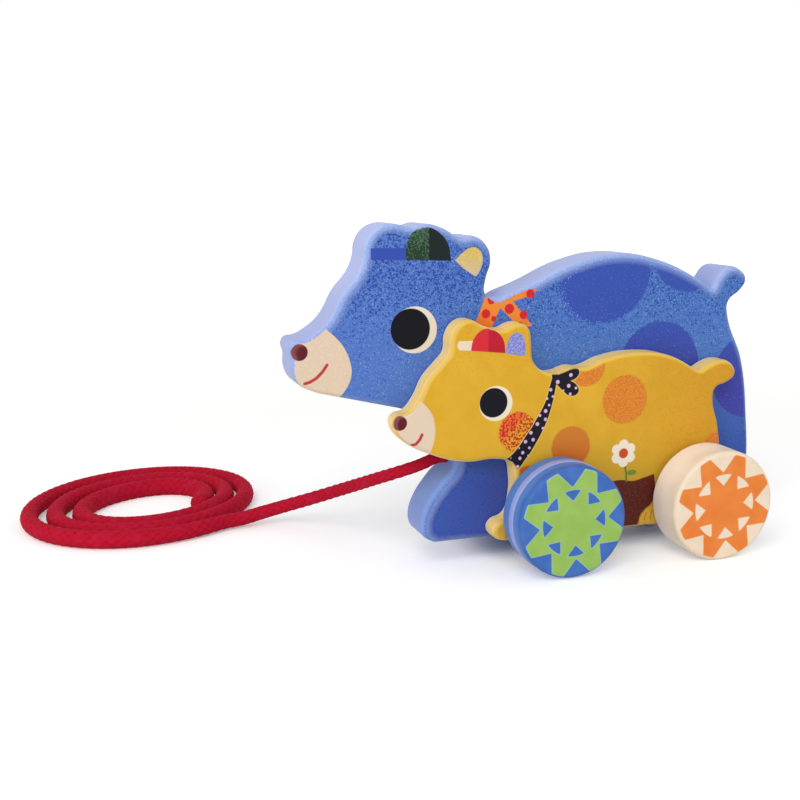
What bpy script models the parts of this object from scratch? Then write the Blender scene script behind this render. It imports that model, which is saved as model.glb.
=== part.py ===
"""Wooden pull-along toy: a mother bear board with her cub on four wheels, a chime inside and a cord.

Metres, +Z up. +X runs from the snouts to the tails, and the cub is on the -Y side. The origin is on
the floor, under the middle of the mother bear's length and of the width over the wheels.
"""
import math

import bmesh
import bpy
import numpy as np
from mathutils import Matrix, Vector

MM = 0.001
FIT = 0.0003  # clearance between two pieces that touch

# Wheels, axles and bushes
WHEEL_RADIUS = 0.025
WHEEL_WIDTH = 0.020
WHEEL_ROUNDING = 0.002
WHEEL_FACE_WALL = 0.006  # wood between the axle's end and the wheel's outer face
WHEEL_BASE = 0.0738
AXLE_RADIUS = 0.003
BUSH_WALL = 0.0015
FLANGE_RADIUS = 0.007
FLANGE_THICKNESS = 0.0007

# Rubber grip ring in a groove round each front wheel
RING_WIDTH = 0.0042
RING_FROM_FACE = 0.0084
RING_THICKNESS = 0.0018
RING_PROUD = 0.0003
RING_CHAMFER = 0.0004

# Boards
CUB_THICKNESS = 0.010
BACK_WALL = 0.0046  # wood left in the mother's board behind the chime
EDGE_ROUNDING = 0.002

# Glue dowels between the boards
DOWEL_RADIUS = 0.003
DOWEL_IN_CUB = 0.006
DOWEL_IN_MOTHER = 0.008

# Chime: the front axle's pegged drum lifts three hammers, which fall on three tone bars
SHEET = 0.0008  # steel sheet of the chime's frame
BAR_WIDTH = 0.0036
BAR_THICKNESS = 0.0018
BAR_UNDERCUT = 0.0004
BAR_LENGTHS = (0.029, 0.027, 0.025)
BAR_SPACING = 0.0007
STILL_SHARE = 0.276  # of a free bar's length, from its middle to each still place
BAR_PIN_RADIUS = 0.0006
BAR_PIN_HEAD_RADIUS = 0.0011
BAR_PIN_HEAD_HEIGHT = 0.0006
FELT_THICKNESS = 0.0012
FELT_MARGIN = 0.0015
PIVOT_RADIUS = 0.001
PIVOT_RISE = 0.011  # of the hammers' pivot above the front axle
PIVOT_CLEARANCE = 0.0021
HUB_WALL = 0.0011
ARM_WIDTH = 0.0024
ARM_DEPTH = 0.0016
HEAD_RADIUS = 0.0023
TOOTH_HEIGHT = 0.0016
TOOTH_OVERLAP = 0.0012
LEG_WIDTH = 0.0018
LEG_CLEARANCE = 0.0019
HAMMER_SWING = math.radians(10.0)
DRUM_RADIUS = 0.0055
PEG_RADIUS = 0.0006
PEG_REACH = 0.0085
POCKET_MARGIN = 0.0015
FRAME_SCREW_RADIUS = 0.0012
FRAME_SCREW_HEAD_RADIUS = 0.002
FRAME_SCREW_HEAD_HEIGHT = 0.0006
FRAME_SCREW_INSET = 0.006
FRAME_SCREW_COVER = 0.0014  # wood left beyond the screws' points

# Turns of the pegs on each drum track, in degrees round the axle from the hammers' teeth
PEG_TURNS = ((105.0, 345.0), (75.0, 195.0, 315.0), (135.0, 255.0))

# Cord: a soft braid, drawn thinner where it is pulled into the chest and knotted inside
CORD_DIAMETER = 0.0084
CORD_TAUT_DIAMETER = 0.0054
CORD_HOLE_RISE = 0.0229  # of the hole in the chest above the front axle
CORD_HOLE_FROM_AXLE = 0.0424
CORD_START_INSIDE = 0.002
CORD_SWELL_LENGTH = 0.15
KNOT_STRAND_RADIUS = 0.0028
KNOT_FROM_AXLE = 0.007
KNOT_LOBE_ARC = 60.0  # degrees either side of each lobe's fullest place
CORD_STEPS_BETWEEN = 16  # between two points of the route, when it is smoothed
FREE_BEVEL_STEPS = 2
COIL_BEVEL_STEPS = 1

# Coil on the floor: an oval spiral that winds inwards, clockwise from above, its angles in degrees
COIL_CENTRE = (-0.1600, 0.1296)
COIL_HALVES = (0.0577, 0.0655)  # of the oval, before it is turned
COIL_TURNED = -45.6
COIL_PITCH = 0.0118
COIL_DRIFT = (0.0009, -0.0019)  # of the centre, with each turn
COIL_START = -16.4
COIL_SWEEP = 1046.0
COIL_POINTS_PER_TURN = 24

BORE_OVERRUN = 0.002  # how far a drill runs past the face that it leaves
ROUND_SIDES = 24
PIN_SIDES = 12
WHEEL_SIDES = 40
WHEEL_ARC_STEPS = 2
BOARD_CURVE_STEPS = 3
KNOT_ARC_STEPS = 4
SHARP_ANGLE = math.radians(40.0)
WELD_DISTANCE = 0.000001
TURNED_WELD_DISTANCE = 0.00001
SMOOTH = "AUTO"
STRAIGHT = "VECTOR"

# Outlines in millimetres from the front axle's hole: along the toy, up, and how the edge runs there
MOTHER_OUTLINE = (
    (-114.2, 76.3, SMOOTH), (-112.6, 79.2, SMOOTH), (-109.0, 79.7, SMOOTH), (-104.4, 81.8, SMOOTH),
    (-97.6, 87.4, SMOOTH), (-91.2, 98.2, SMOOTH), (-85.0, 105.6, SMOOTH), (-82.4, 111.5, SMOOTH),
    (-81.4, 117.8, SMOOTH), (-77.5, 123.4, SMOOTH), (-70.5, 125.7, SMOOTH), (-62.0, 124.2, SMOOTH),
    (-55.5, 125.4, SMOOTH), (-47.5, 123.4, SMOOTH), (-40.0, 119.6, SMOOTH), (-34.0, 120.0, SMOOTH),
    (-28.0, 116.2, SMOOTH), (-25.7, 109.8, SMOOTH), (-28.0, 101.0, SMOOTH), (-28.2, 95.4, SMOOTH),
    (-24.2, 92.9, SMOOTH), (-17.5, 95.2, SMOOTH), (-8.0, 98.6, SMOOTH), (12.0, 107.0, SMOOTH),
    (34.0, 110.9, SMOOTH), (54.0, 107.8, SMOOTH), (74.0, 99.4, SMOOTH), (83.6, 93.2, STRAIGHT),
    (86.4, 99.0, SMOOTH), (91.0, 103.2, SMOOTH), (98.0, 101.9, SMOOTH), (101.7, 97.2, SMOOTH),
    (99.0, 92.4, SMOOTH), (92.8, 87.2, SMOOTH), (93.0, 80.6, SMOOTH), (101.4, 60.0, SMOOTH),
    (106.0, 32.0, SMOOTH), (107.3, 8.0, SMOOTH), (104.6, -8.0, SMOOTH), (98.0, -13.2, STRAIGHT),
    (58.0, -13.2, STRAIGHT), (53.0, -9.0, SMOOTH), (47.0, -4.0, SMOOTH), (30.0, -4.0, SMOOTH),
    (24.0, -9.0, SMOOTH), (19.0, -13.2, STRAIGHT), (-51.5, -13.2, STRAIGHT), (-56.6, -9.6, SMOOTH),
    (-57.9, -4.0, SMOOTH), (-55.6, 4.0, SMOOTH), (-48.5, 14.0, SMOOTH), (-42.4, 21.0, SMOOTH),
    (-42.4, 27.5, SMOOTH), (-47.0, 36.0, SMOOTH), (-56.0, 44.0, SMOOTH), (-66.5, 47.9, STRAIGHT),
    (-103.0, 57.0, STRAIGHT), (-110.8, 61.4, SMOOTH), (-113.4, 68.0, SMOOTH), (-113.2, 72.8, SMOOTH),
)
CUB_OUTLINE = (
    (-73.2, 45.2, SMOOTH), (-71.6, 47.2, SMOOTH), (-67.4, 48.2, SMOOTH), (-62.6, 53.6, SMOOTH),
    (-58.2, 62.0, SMOOTH), (-52.4, 68.3, SMOOTH), (-48.9, 72.4, SMOOTH), (-48.2, 79.0, SMOOTH),
    (-44.8, 84.4, SMOOTH), (-39.6, 86.0, SMOOTH), (-33.2, 83.0, SMOOTH), (-24.6, 81.2, SMOOTH),
    (-20.4, 83.0, SMOOTH), (-16.0, 83.4, SMOOTH), (-12.2, 80.6, SMOOTH), (-11.0, 74.6, SMOOTH),
    (-9.8, 66.4, SMOOTH), (-5.0, 62.0, SMOOTH), (0.4, 61.2, SMOOTH), (8.0, 63.2, SMOOTH),
    (13.4, 62.7, SMOOTH), (24.0, 66.2, SMOOTH), (41.0, 68.0, SMOOTH), (57.0, 65.4, SMOOTH),
    (71.6, 57.8, STRAIGHT), (76.2, 60.4, SMOOTH), (83.0, 62.2, SMOOTH), (88.8, 60.2, SMOOTH),
    (91.2, 55.2, SMOOTH), (87.6, 51.8, SMOOTH), (81.2, 49.2, SMOOTH), (80.2, 44.6, SMOOTH),
    (83.4, 31.6, SMOOTH), (85.6, 14.0, SMOOTH), (84.0, -4.0, SMOOTH), (77.0, -12.4, STRAIGHT),
    (-22.6, -12.4, STRAIGHT), (-26.9, -10.6, SMOOTH), (-28.4, -7.0, SMOOTH), (-26.4, -3.8, SMOOTH),
    (-21.0, -1.6, SMOOTH), (-18.6, 4.0, SMOOTH), (-18.2, 17.0, SMOOTH), (-19.8, 22.6, SMOOTH),
    (-25.6, 24.8, SMOOTH), (-40.6, 24.8, SMOOTH), (-56.7, 29.4, SMOOTH), (-70.4, 37.6, SMOOTH),
    (-73.0, 42.0, SMOOTH),
)

# Glue dowels in millimetres from the front axle's hole
DOWEL_PLACES = (("head", -30.0, 52.0), ("back", 20.0, 52.0), ("rump", 58.0, 46.0), ("leg", 56.0, 2.0))

# Free cord in millimetres from the origin, from outside the chest down to the floor by the coil
CORD_ROUTE = (
    (-50.5, 5.15, 45.4), (-56.5, 7.4, 43.0), (-61.5, 12.9, 40.0), (-65.2, 21.4, 36.3),
    (-69.0, 31.9, 31.8), (-73.5, 44.1, 26.6), (-79.5, 56.8, 20.9), (-87.3, 68.4, 15.3),
    (-97.0, 78.0, 10.2), (-107.3, 82.6, 6.6), (-117.4, 82.4, 4.6),
)

# Finishes: linear colour, roughness and metallic value
FINISHES = {
    "blue lacquer": ((0.075, 0.18, 0.52), 0.35, 0.0),
    "yellow lacquer": ((0.72, 0.40, 0.03), 0.35, 0.0),
    "dark blue lacquer": ((0.05, 0.13, 0.48), 0.35, 0.0),
    "cream lacquer": ((0.88, 0.72, 0.53), 0.35, 0.0),
    "pale blue rubber": ((0.34, 0.40, 0.74), 0.6, 0.0),
    "beech": ((0.60, 0.38, 0.20), 0.6, 0.0),
    "steel": ((0.62, 0.62, 0.64), 0.3, 1.0),
    "brass": ((0.80, 0.58, 0.25), 0.3, 1.0),
    "nylon": ((0.80, 0.80, 0.76), 0.45, 0.0),
    "red felt": ((0.45, 0.05, 0.05), 0.9, 0.0),
    "red cotton": ((0.55, 0.01, 0.03), 0.85, 0.0),
}

# Widths across the toy, from the cub's side to the mother's
TRACK_PITCH = BAR_WIDTH + BAR_SPACING
HUB_LENGTH = TRACK_PITCH - FIT
EAR_DEPTH = FIT + SHEET + FIT
POCKET_DEPTH = EAR_DEPTH + 2 * TRACK_PITCH + HUB_LENGTH + EAR_DEPTH
MOTHER_THICKNESS = POCKET_DEPTH + BACK_WALL
WHEEL_GAP = FIT + FLANGE_THICKNESS + FIT
CUB_FACE_Y = -(CUB_THICKNESS + FIT + MOTHER_THICKNESS) / 2
CUB_BACK_Y = CUB_FACE_Y + CUB_THICKNESS
MOTHER_FACE_Y = CUB_BACK_Y + FIT
MOTHER_BACK_Y = MOTHER_FACE_Y + MOTHER_THICKNESS
MOTHER_MIDDLE_Y = (MOTHER_FACE_Y + MOTHER_BACK_Y) / 2
NEAR_WHEEL_Y = CUB_FACE_Y - WHEEL_GAP
FAR_WHEEL_Y = MOTHER_BACK_Y + WHEEL_GAP
POCKET_FLOOR_Y = MOTHER_FACE_Y + POCKET_DEPTH
EAR_Y = MOTHER_FACE_Y + FIT
BACK_PLATE_Y = POCKET_FLOOR_Y - FIT - SHEET
TRACKS = [EAR_Y + SHEET + FIT + HUB_LENGTH / 2 + TRACK_PITCH * i for i in range(3)]

# Places along the toy
OUTLINE_ALONG = [point[0] * MM for point in MOTHER_OUTLINE]
FRONT_AXLE_X = -(min(OUTLINE_ALONG) + max(OUTLINE_ALONG)) / 2
REAR_AXLE_X = FRONT_AXLE_X + WHEEL_BASE
TOOTH_TIP_X = FRONT_AXLE_X + PEG_REACH - TOOTH_OVERLAP
LEG_LEFT_X = FRONT_AXLE_X + PEG_REACH + FIT
LEG_RIGHT_X = LEG_LEFT_X + LEG_WIDTH
FRAME_LEFT_X = LEG_RIGHT_X + LEG_CLEARANCE
HUB_RADIUS = PIVOT_RADIUS + FIT + HUB_WALL
STRIKE_X = FRAME_LEFT_X + max(BAR_LENGTHS) / 2
PIVOT_X = FRAME_LEFT_X + max(BAR_LENGTHS) + PIVOT_CLEARANCE + HUB_RADIUS
FRAME_RIGHT_X = PIVOT_X + HUB_RADIUS + SHEET

# Heights above the floor
AXLE_Z = WHEEL_RADIUS
PIVOT_Z = AXLE_Z + PIVOT_RISE
HEAD_Z = PIVOT_Z - HEAD_RADIUS / 3
BAR_TOP_Z = HEAD_Z - HEAD_RADIUS - FIT
BAR_BOTTOM_Z = BAR_TOP_Z - BAR_THICKNESS
FELT_TOP_Z = BAR_BOTTOM_Z - FIT
LEDGE_TOP_Z = FELT_TOP_Z - FELT_THICKNESS - FIT
LEDGE_BOTTOM_Z = LEDGE_TOP_Z - SHEET
SWING_TOP_Z = PIVOT_Z + ARM_DEPTH + (PIVOT_X - LEG_LEFT_X) * math.sin(HAMMER_SWING)
FRAME_TOP_Z = SWING_TOP_Z + FRAME_SCREW_HEAD_RADIUS
POCKET_TOP_Z = FRAME_TOP_Z + FIT

# Clearance holes
AXLE_BORE = AXLE_RADIUS + FIT
BUSH_RADIUS = AXLE_BORE + BUSH_WALL
WHEEL_BORE_DEPTH = WHEEL_WIDTH - WHEEL_FACE_WALL
BAR_PIN_BORE = BAR_PIN_RADIUS + FIT
PIVOT_BORE = PIVOT_RADIUS + FIT
CORD_BORE = CORD_TAUT_DIAMETER / 2 + FIT

TOWARDS_CUB = Vector((0.0, -1.0, 0.0))
TOWARDS_MOTHER = Vector((0.0, 1.0, 0.0))
FORWARDS = Vector((-1.0, 0.0, 0.0))
UPWARDS = Vector((0.0, 0.0, 1.0))

for item in list(bpy.data.objects):
    bpy.data.objects.remove(item, do_unlink=True)
toy = bpy.data.collections.new("pull_along_bears")
cutters = bpy.data.collections.new("cutters")
for group in (toy, cutters):
    bpy.context.scene.collection.children.link(group)


def finish(item, kind):
    """Give a piece its own Principled material and a place in the toy."""
    colour, roughness, metallic = FINISHES[kind]
    material = bpy.data.materials.new(item.name + " " + kind)
    material.use_nodes = True
    shader = material.node_tree.nodes["Principled BSDF"]
    shader.inputs["Base Color"].default_value = (*colour, 1.0)
    shader.inputs["Roughness"].default_value = roughness
    shader.inputs["Metallic"].default_value = metallic
    item.data.materials.clear()
    item.data.materials.append(material)
    toy.objects.link(item)
    return item


def as_cutter(item):
    """Keep a shape that others are cut or joined with."""
    item.hide_render = True
    item.display_type = "WIRE"
    cutters.objects.link(item)
    return item


def shade(mesh):
    """Smooth shading, with sharp edges where the faces turn a lot."""
    mesh.shade_smooth()
    mesh.set_sharp_from_angle(angle=SHARP_ANGLE)


def rods(name, origin, pieces, sides=ROUND_SIDES):
    """Cylinders in one object, each given by its radius and the middles of its two ends."""
    shell = bmesh.new()
    for radius, start, end in pieces:
        start, end = Vector(start), Vector(end)
        run = end - start
        turn = UPWARDS.rotation_difference(run).to_matrix().to_4x4()
        bmesh.ops.create_cone(
            shell, cap_ends=True, segments=sides, radius1=radius, radius2=radius,
            depth=run.length, matrix=Matrix.Translation((start + end) / 2 - Vector(origin)) @ turn)
    mesh = bpy.data.meshes.new(name)
    shell.to_mesh(mesh)
    shell.free()
    shade(mesh)
    item = bpy.data.objects.new(name, mesh)
    item.location = origin
    return item


def cross_rod(name, radius, x, z, y_from, y_to, sides=ROUND_SIDES):
    """One cylinder across the toy, its origin on its axis."""
    return rods(name, (x, 0.0, z), [(radius, (x, y_from, z), (x, y_to, z))], sides)


def turned(name, profile, origin, axis, closed=False, sides=WHEEL_SIDES):
    """A profile of (radius, out along the axis) turned round an axis through the origin."""
    mesh = bpy.data.meshes.new(name)
    edges = [(i, i + 1) for i in range(len(profile) - 1)]
    if closed:
        edges.append((len(profile) - 1, 0))
    mesh.from_pydata([(radius, 0.0, out) for radius, out in profile], edges, [])
    item = bpy.data.objects.new(name, mesh)
    turn = UPWARDS.rotation_difference(axis).to_matrix().to_4x4()
    item.matrix_world = Matrix.Translation(origin) @ turn
    screw = item.modifiers.new("turned", "SCREW")
    screw.angle = 2 * math.pi
    screw.steps = sides
    screw.render_steps = sides
    screw.use_merge_vertices = True
    screw.merge_threshold = TURNED_WELD_DISTANCE
    screw.use_smooth_shade = True
    return item


def headed_pin(name, point, axis, length, radius, head_radius, head_height):
    """A pin from its point along an axis, with a flat head at its top."""
    profile = [
        (0.0, length), (head_radius, length), (head_radius, length - head_height),
        (radius, length - head_height), (radius, 0.0), (0.0, 0.0)]
    return turned(name, profile, point, axis, False, PIN_SIDES)


def plate(name, points, origin, y_from, y_to, rounding=0.0, resolution=1):
    """An upright outline of (along, up, run) from the origin, thickened between two places across."""
    curve = bpy.data.curves.new(name, "CURVE")
    curve.dimensions = "2D"
    curve.fill_mode = "BOTH"
    curve.extrude = (y_to - y_from) / 2 - rounding
    curve.bevel_depth = rounding
    curve.bevel_resolution = 1
    curve.offset = -rounding
    curve.resolution_u = resolution
    spline = curve.splines.new("BEZIER")
    spline.bezier_points.add(len(points) - 1)
    spline.use_cyclic_u = True
    for place, (along, up, run) in zip(spline.bezier_points, points):
        place.co = (along, up, 0.0)
        place.handle_left_type = run
        place.handle_right_type = run
    drawn = bpy.data.objects.new(name, curve)
    bpy.context.scene.collection.objects.link(drawn)
    evaluated = drawn.evaluated_get(bpy.context.evaluated_depsgraph_get())
    mesh = bpy.data.meshes.new_from_object(evaluated)
    bpy.data.objects.remove(drawn, do_unlink=True)
    shell = bmesh.new()
    shell.from_mesh(mesh)
    bmesh.ops.remove_doubles(shell, verts=shell.verts, dist=WELD_DISTANCE)
    bmesh.ops.recalc_face_normals(shell, faces=shell.faces)
    across = Matrix.Translation((0.0, (y_from + y_to) / 2, 0.0))
    upright = Matrix.Rotation(math.pi / 2, 4, "X")
    bmesh.ops.transform(shell, matrix=across @ upright, verts=shell.verts)
    shell.to_mesh(mesh)
    shell.free()
    shade(mesh)
    item = bpy.data.objects.new(name, mesh)
    item.location = (origin[0], 0.0, origin[1])
    return item


def straight(points):
    """Outline points that are joined by straight lines."""
    return [(along, up, STRAIGHT) for along, up in points]


def rectangle(left, bottom, right, top):
    """Outline of a rectangle."""
    return straight([(left, bottom), (right, bottom), (right, top), (left, top)])


def in_metres(outline):
    """An outline given in millimetres."""
    return [(along * MM, up * MM, run) for along, up, run in outline]


def arc(centre, radius, start, end, steps):
    """Points round an arc, its angles in degrees."""
    turns = [math.radians(start + (end - start) * i / steps) for i in range(steps + 1)]
    return [(centre[0] + radius * math.cos(t), centre[1] + radius * math.sin(t)) for t in turns]


def combine(item, operation, others):
    """Cut a piece with other shapes, or make them one solid."""
    for other in others:
        step = item.modifiers.new(operation.lower(), "BOOLEAN")
        step.operation = operation
        step.solver = "EXACT"
        step.object = as_cutter(other) if other.name not in cutters.objects else other


# Boards, sawn from beech and rounded at their edges
axle_hole = (FRONT_AXLE_X, AXLE_Z)
cub_board = finish(
    plate(
        "cub_board", in_metres(CUB_OUTLINE), axle_hole, CUB_FACE_Y, CUB_BACK_Y, EDGE_ROUNDING,
        BOARD_CURVE_STEPS),
    "yellow lacquer")
mother_board = finish(
    plate(
        "mother_board", in_metres(MOTHER_OUTLINE), axle_hole, MOTHER_FACE_Y, MOTHER_BACK_Y,
        EDGE_ROUNDING, BOARD_CURVE_STEPS),
    "blue lacquer")

# Holes through both boards for the bushes, and blind ones for the dowels that line the boards up
board_drills = []
for x in (FRONT_AXLE_X, REAR_AXLE_X):
    ends = ((x, CUB_FACE_Y - BORE_OVERRUN, AXLE_Z), (x, MOTHER_BACK_Y + BORE_OVERRUN, AXLE_Z))
    board_drills.append((BUSH_RADIUS + FIT, *ends))
dowel_near_end = CUB_BACK_Y - DOWEL_IN_CUB
dowel_far_end = MOTHER_FACE_Y + DOWEL_IN_MOTHER
for place, along, up in DOWEL_PLACES:
    x = FRONT_AXLE_X + along * MM
    z = AXLE_Z + up * MM
    finish(
        cross_rod("glue_dowel_" + place, DOWEL_RADIUS, x, z, dowel_near_end, dowel_far_end, PIN_SIDES),
        "beech")
    ends = ((x, dowel_near_end - FIT, z), (x, dowel_far_end + FIT, z))
    board_drills.append((DOWEL_RADIUS + FIT, *ends))
board_holes = rods("board_holes", (FRONT_AXLE_X, 0.0, AXLE_Z), board_drills)
combine(cub_board, "DIFFERENCE", [board_holes])
combine(mother_board, "DIFFERENCE", [board_holes])

# Pocket for the chime: round the drum, up past the hammers' legs and along the tone bars
bay_radius = PEG_REACH + POCKET_MARGIN
leg_swing = (PIVOT_RISE + TOOTH_HEIGHT / 2) * math.sin(HAMMER_SWING)
bay_left = PEG_REACH - TOOTH_OVERLAP - leg_swing - FIT
bay_right = LEG_RIGHT_X + POCKET_MARGIN - FRONT_AXLE_X
bay_bottom = -TOOTH_HEIGHT / 2 - POCKET_MARGIN
bay_top = POCKET_TOP_Z - AXLE_Z
bar_bay_right = FRAME_RIGHT_X + FIT - FRONT_AXLE_X
bar_bay_bottom = LEDGE_BOTTOM_Z - FIT - AXLE_Z
round_from = math.degrees(math.acos(bay_left / bay_radius))
round_to = 360.0 + math.degrees(math.asin(bay_bottom / bay_radius))
pocket_points = arc((0.0, 0.0), bay_radius, round_from, round_to, ROUND_SIDES)
pocket_points += [
    (bay_right, bay_bottom), (bay_right, bar_bay_bottom), (bar_bay_right, bar_bay_bottom),
    (bar_bay_right, bay_top), (bay_left, bay_top)]
chime_pocket = plate(
    "chime_pocket", straight(pocket_points), axle_hole, MOTHER_FACE_Y - BORE_OVERRUN, POCKET_FLOOR_Y)
combine(mother_board, "DIFFERENCE", [chime_pocket])

# Wheels, turned from beech, with a blind hole for the axle and a groove in the front ones
front_rim = WHEEL_RADIUS - RING_PROUD
groove_floor = WHEEL_RADIUS - RING_THICKNESS - FIT
ring_out = WHEEL_WIDTH - RING_FROM_FACE
ring_in = ring_out - RING_WIDTH


def wheel_profile(radius, groove):
    """From the middle of the outer face round the rim to the bottom of the axle's hole."""
    points = [(0.0, WHEEL_WIDTH)]
    outer = (radius - WHEEL_ROUNDING, WHEEL_WIDTH - WHEEL_ROUNDING)
    inner = (radius - WHEEL_ROUNDING, WHEEL_ROUNDING)
    points += arc(outer, WHEEL_ROUNDING, 90.0, 0.0, WHEEL_ARC_STEPS)
    points += groove
    points += arc(inner, WHEEL_ROUNDING, 0.0, -90.0, WHEEL_ARC_STEPS)
    points += [(AXLE_BORE, 0.0), (AXLE_BORE, WHEEL_BORE_DEPTH), (0.0, WHEEL_BORE_DEPTH)]
    return points


ring_groove = [
    (front_rim, ring_out + FIT), (groove_floor, ring_out + FIT), (groove_floor, ring_in - FIT),
    (front_rim, ring_in - FIT)]
ring_profile = [
    (groove_floor + FIT, ring_out), (WHEEL_RADIUS - RING_CHAMFER, ring_out),
    (WHEEL_RADIUS, ring_out - RING_CHAMFER), (WHEEL_RADIUS, ring_in + RING_CHAMFER),
    (WHEEL_RADIUS - RING_CHAMFER, ring_in), (groove_floor + FIT, ring_in)]
for side, inner_y, outwards in (
        ("near", NEAR_WHEEL_Y, TOWARDS_CUB), ("far", FAR_WHEEL_Y, TOWARDS_MOTHER)):
    front = (FRONT_AXLE_X, inner_y, AXLE_Z)
    rear = (REAR_AXLE_X, inner_y, AXLE_Z)
    finish(
        turned("front_wheel_" + side, wheel_profile(front_rim, ring_groove), front, outwards),
        "dark blue lacquer")
    finish(
        turned("rear_wheel_" + side, wheel_profile(WHEEL_RADIUS, []), rear, outwards),
        "cream lacquer")
    finish(turned("grip_ring_" + side, ring_profile, front, outwards, True), "pale blue rubber")

# Axles, pressed into the wheels
near_axle_end = NEAR_WHEEL_Y - WHEEL_BORE_DEPTH + FIT
far_axle_end = FAR_WHEEL_Y + WHEEL_BORE_DEPTH - FIT
for place, x in (("front", FRONT_AXLE_X), ("rear", REAR_AXLE_X)):
    finish(cross_rod(place + "_axle", AXLE_RADIUS, x, AXLE_Z, near_axle_end, far_axle_end), "steel")

# Flanged nylon bushes: each flange keeps its wheel off the board
BUSHES = (
    ("front_bush_near", FRONT_AXLE_X, NEAR_WHEEL_Y, TOWARDS_CUB, CUB_THICKNESS),
    ("front_bush_far", FRONT_AXLE_X, FAR_WHEEL_Y, TOWARDS_MOTHER, BACK_WALL),
    ("rear_bush_near", REAR_AXLE_X, NEAR_WHEEL_Y, TOWARDS_CUB, CUB_THICKNESS),
    ("rear_bush_far", REAR_AXLE_X, FAR_WHEEL_Y, TOWARDS_MOTHER, MOTHER_THICKNESS / 2),
)
for name, x, inner_y, outwards, length in BUSHES:
    flange_top = -FIT
    flange_foot = flange_top - FLANGE_THICKNESS
    inner_end = -WHEEL_GAP - length
    profile = [
        (AXLE_BORE, flange_top), (FLANGE_RADIUS, flange_top), (FLANGE_RADIUS, flange_foot),
        (BUSH_RADIUS, flange_foot), (BUSH_RADIUS, inner_end), (AXLE_BORE, inner_end)]
    finish(turned(name, profile, (x, inner_y, AXLE_Z), outwards, True, ROUND_SIDES), "nylon")

# Drum on the front axle, with a row of pegs for each hammer
drum_start_y = EAR_Y + SHEET
drum_length = BACK_PLATE_Y - drum_start_y
drum_profile = [
    (AXLE_BORE, drum_length), (DRUM_RADIUS, drum_length), (DRUM_RADIUS, 0.0), (AXLE_BORE, 0.0)]
drum_foot = (FRONT_AXLE_X, drum_start_y, AXLE_Z)
music_drum = finish(
    turned("music_drum", drum_profile, drum_foot, TOWARDS_MOTHER, True, ROUND_SIDES), "nylon")
peg_root = (AXLE_BORE + DRUM_RADIUS) / 2
pegs = []
for track, turns in zip(TRACKS, PEG_TURNS):
    for turn in turns:
        out = Vector((math.cos(math.radians(turn)), 0.0, math.sin(math.radians(turn))))
        middle = Vector((FRONT_AXLE_X, track, AXLE_Z))
        pegs.append((PEG_RADIUS, middle + out * peg_root, middle + out * PEG_REACH))
combine(music_drum, "UNION", [rods("pegs", drum_foot, pegs, PIN_SIDES)])

# Hammers: an arm with a toothed leg by the drum, a striking head and a hub on the pivot
tooth_top = -PIVOT_RISE + TOOTH_HEIGHT / 2
tooth_bottom = -PIVOT_RISE - TOOTH_HEIGHT / 2
arm_points = [
    (0.0, ARM_DEPTH / 2), (LEG_LEFT_X - PIVOT_X, ARM_DEPTH / 2), (LEG_LEFT_X - PIVOT_X, tooth_top),
    (TOOTH_TIP_X - PIVOT_X, tooth_top), (TOOTH_TIP_X - PIVOT_X, tooth_bottom),
    (LEG_RIGHT_X - PIVOT_X, tooth_bottom), (LEG_RIGHT_X - PIVOT_X, -ARM_DEPTH / 2),
    (0.0, -ARM_DEPTH / 2)]
for name, track in zip(("hammer_low", "hammer_mid", "hammer_high"), TRACKS):
    hammer = finish(
        plate(
            name, straight(arm_points), (PIVOT_X, PIVOT_Z), track - ARM_WIDTH / 2,
            track + ARM_WIDTH / 2),
        "steel")
    hub = cross_rod(
        name + "_hub", HUB_RADIUS, PIVOT_X, PIVOT_Z, track - HUB_LENGTH / 2, track + HUB_LENGTH / 2)
    head = cross_rod(
        name + "_head", HEAD_RADIUS, STRIKE_X, HEAD_Z, track - BAR_WIDTH / 2, track + BAR_WIDTH / 2)
    pivot_hole = cross_rod(
        name + "_pivot_hole", PIVOT_BORE, PIVOT_X, PIVOT_Z, track - HUB_LENGTH, track + HUB_LENGTH)
    combine(hammer, "UNION", [hub, head])
    combine(hammer, "DIFFERENCE", [pivot_hole])
finish(
    cross_rod(
        "hammer_pivot_pin", PIVOT_RADIUS, PIVOT_X, PIVOT_Z, EAR_Y, POCKET_FLOOR_Y - FIT, PIN_SIDES),
    "steel")

# Tone bars: undercut below, and pinned through felts at the two places where a free bar stays still
pin_top_z = BAR_TOP_Z + FIT + BAR_PIN_HEAD_HEIGHT
pin_drills = []
bars = []
for pitch, track, length in zip(("low", "mid", "high"), TRACKS, BAR_LENGTHS):
    end = length / 2
    still = length * STILL_SHARE
    arch = still - FELT_MARGIN
    bar_points = [
        (-end, BAR_THICKNESS), (-end, 0.0), (-arch, 0.0), (-arch + BAR_UNDERCUT, BAR_UNDERCUT),
        (arch - BAR_UNDERCUT, BAR_UNDERCUT), (arch, 0.0), (end, 0.0), (end, BAR_THICKNESS)]
    bar = plate(
        "tone_bar_" + pitch, straight(bar_points), (STRIKE_X, BAR_BOTTOM_Z), track - BAR_WIDTH / 2,
        track + BAR_WIDTH / 2)
    bars.append(finish(bar, "brass"))
    for place, x in (("left", STRIKE_X - still), ("right", STRIKE_X + still)):
        finish(
            headed_pin(
                "bar_pin_%s_%s" % (pitch, place), (x, track, LEDGE_BOTTOM_Z), UPWARDS,
                pin_top_z - LEDGE_BOTTOM_Z, BAR_PIN_RADIUS, BAR_PIN_HEAD_RADIUS, BAR_PIN_HEAD_HEIGHT),
            "steel")
        ends = ((x, track, LEDGE_BOTTOM_Z - BORE_OVERRUN), (x, track, BAR_TOP_Z + BORE_OVERRUN))
        pin_drills.append((BAR_PIN_BORE, *ends))
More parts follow.
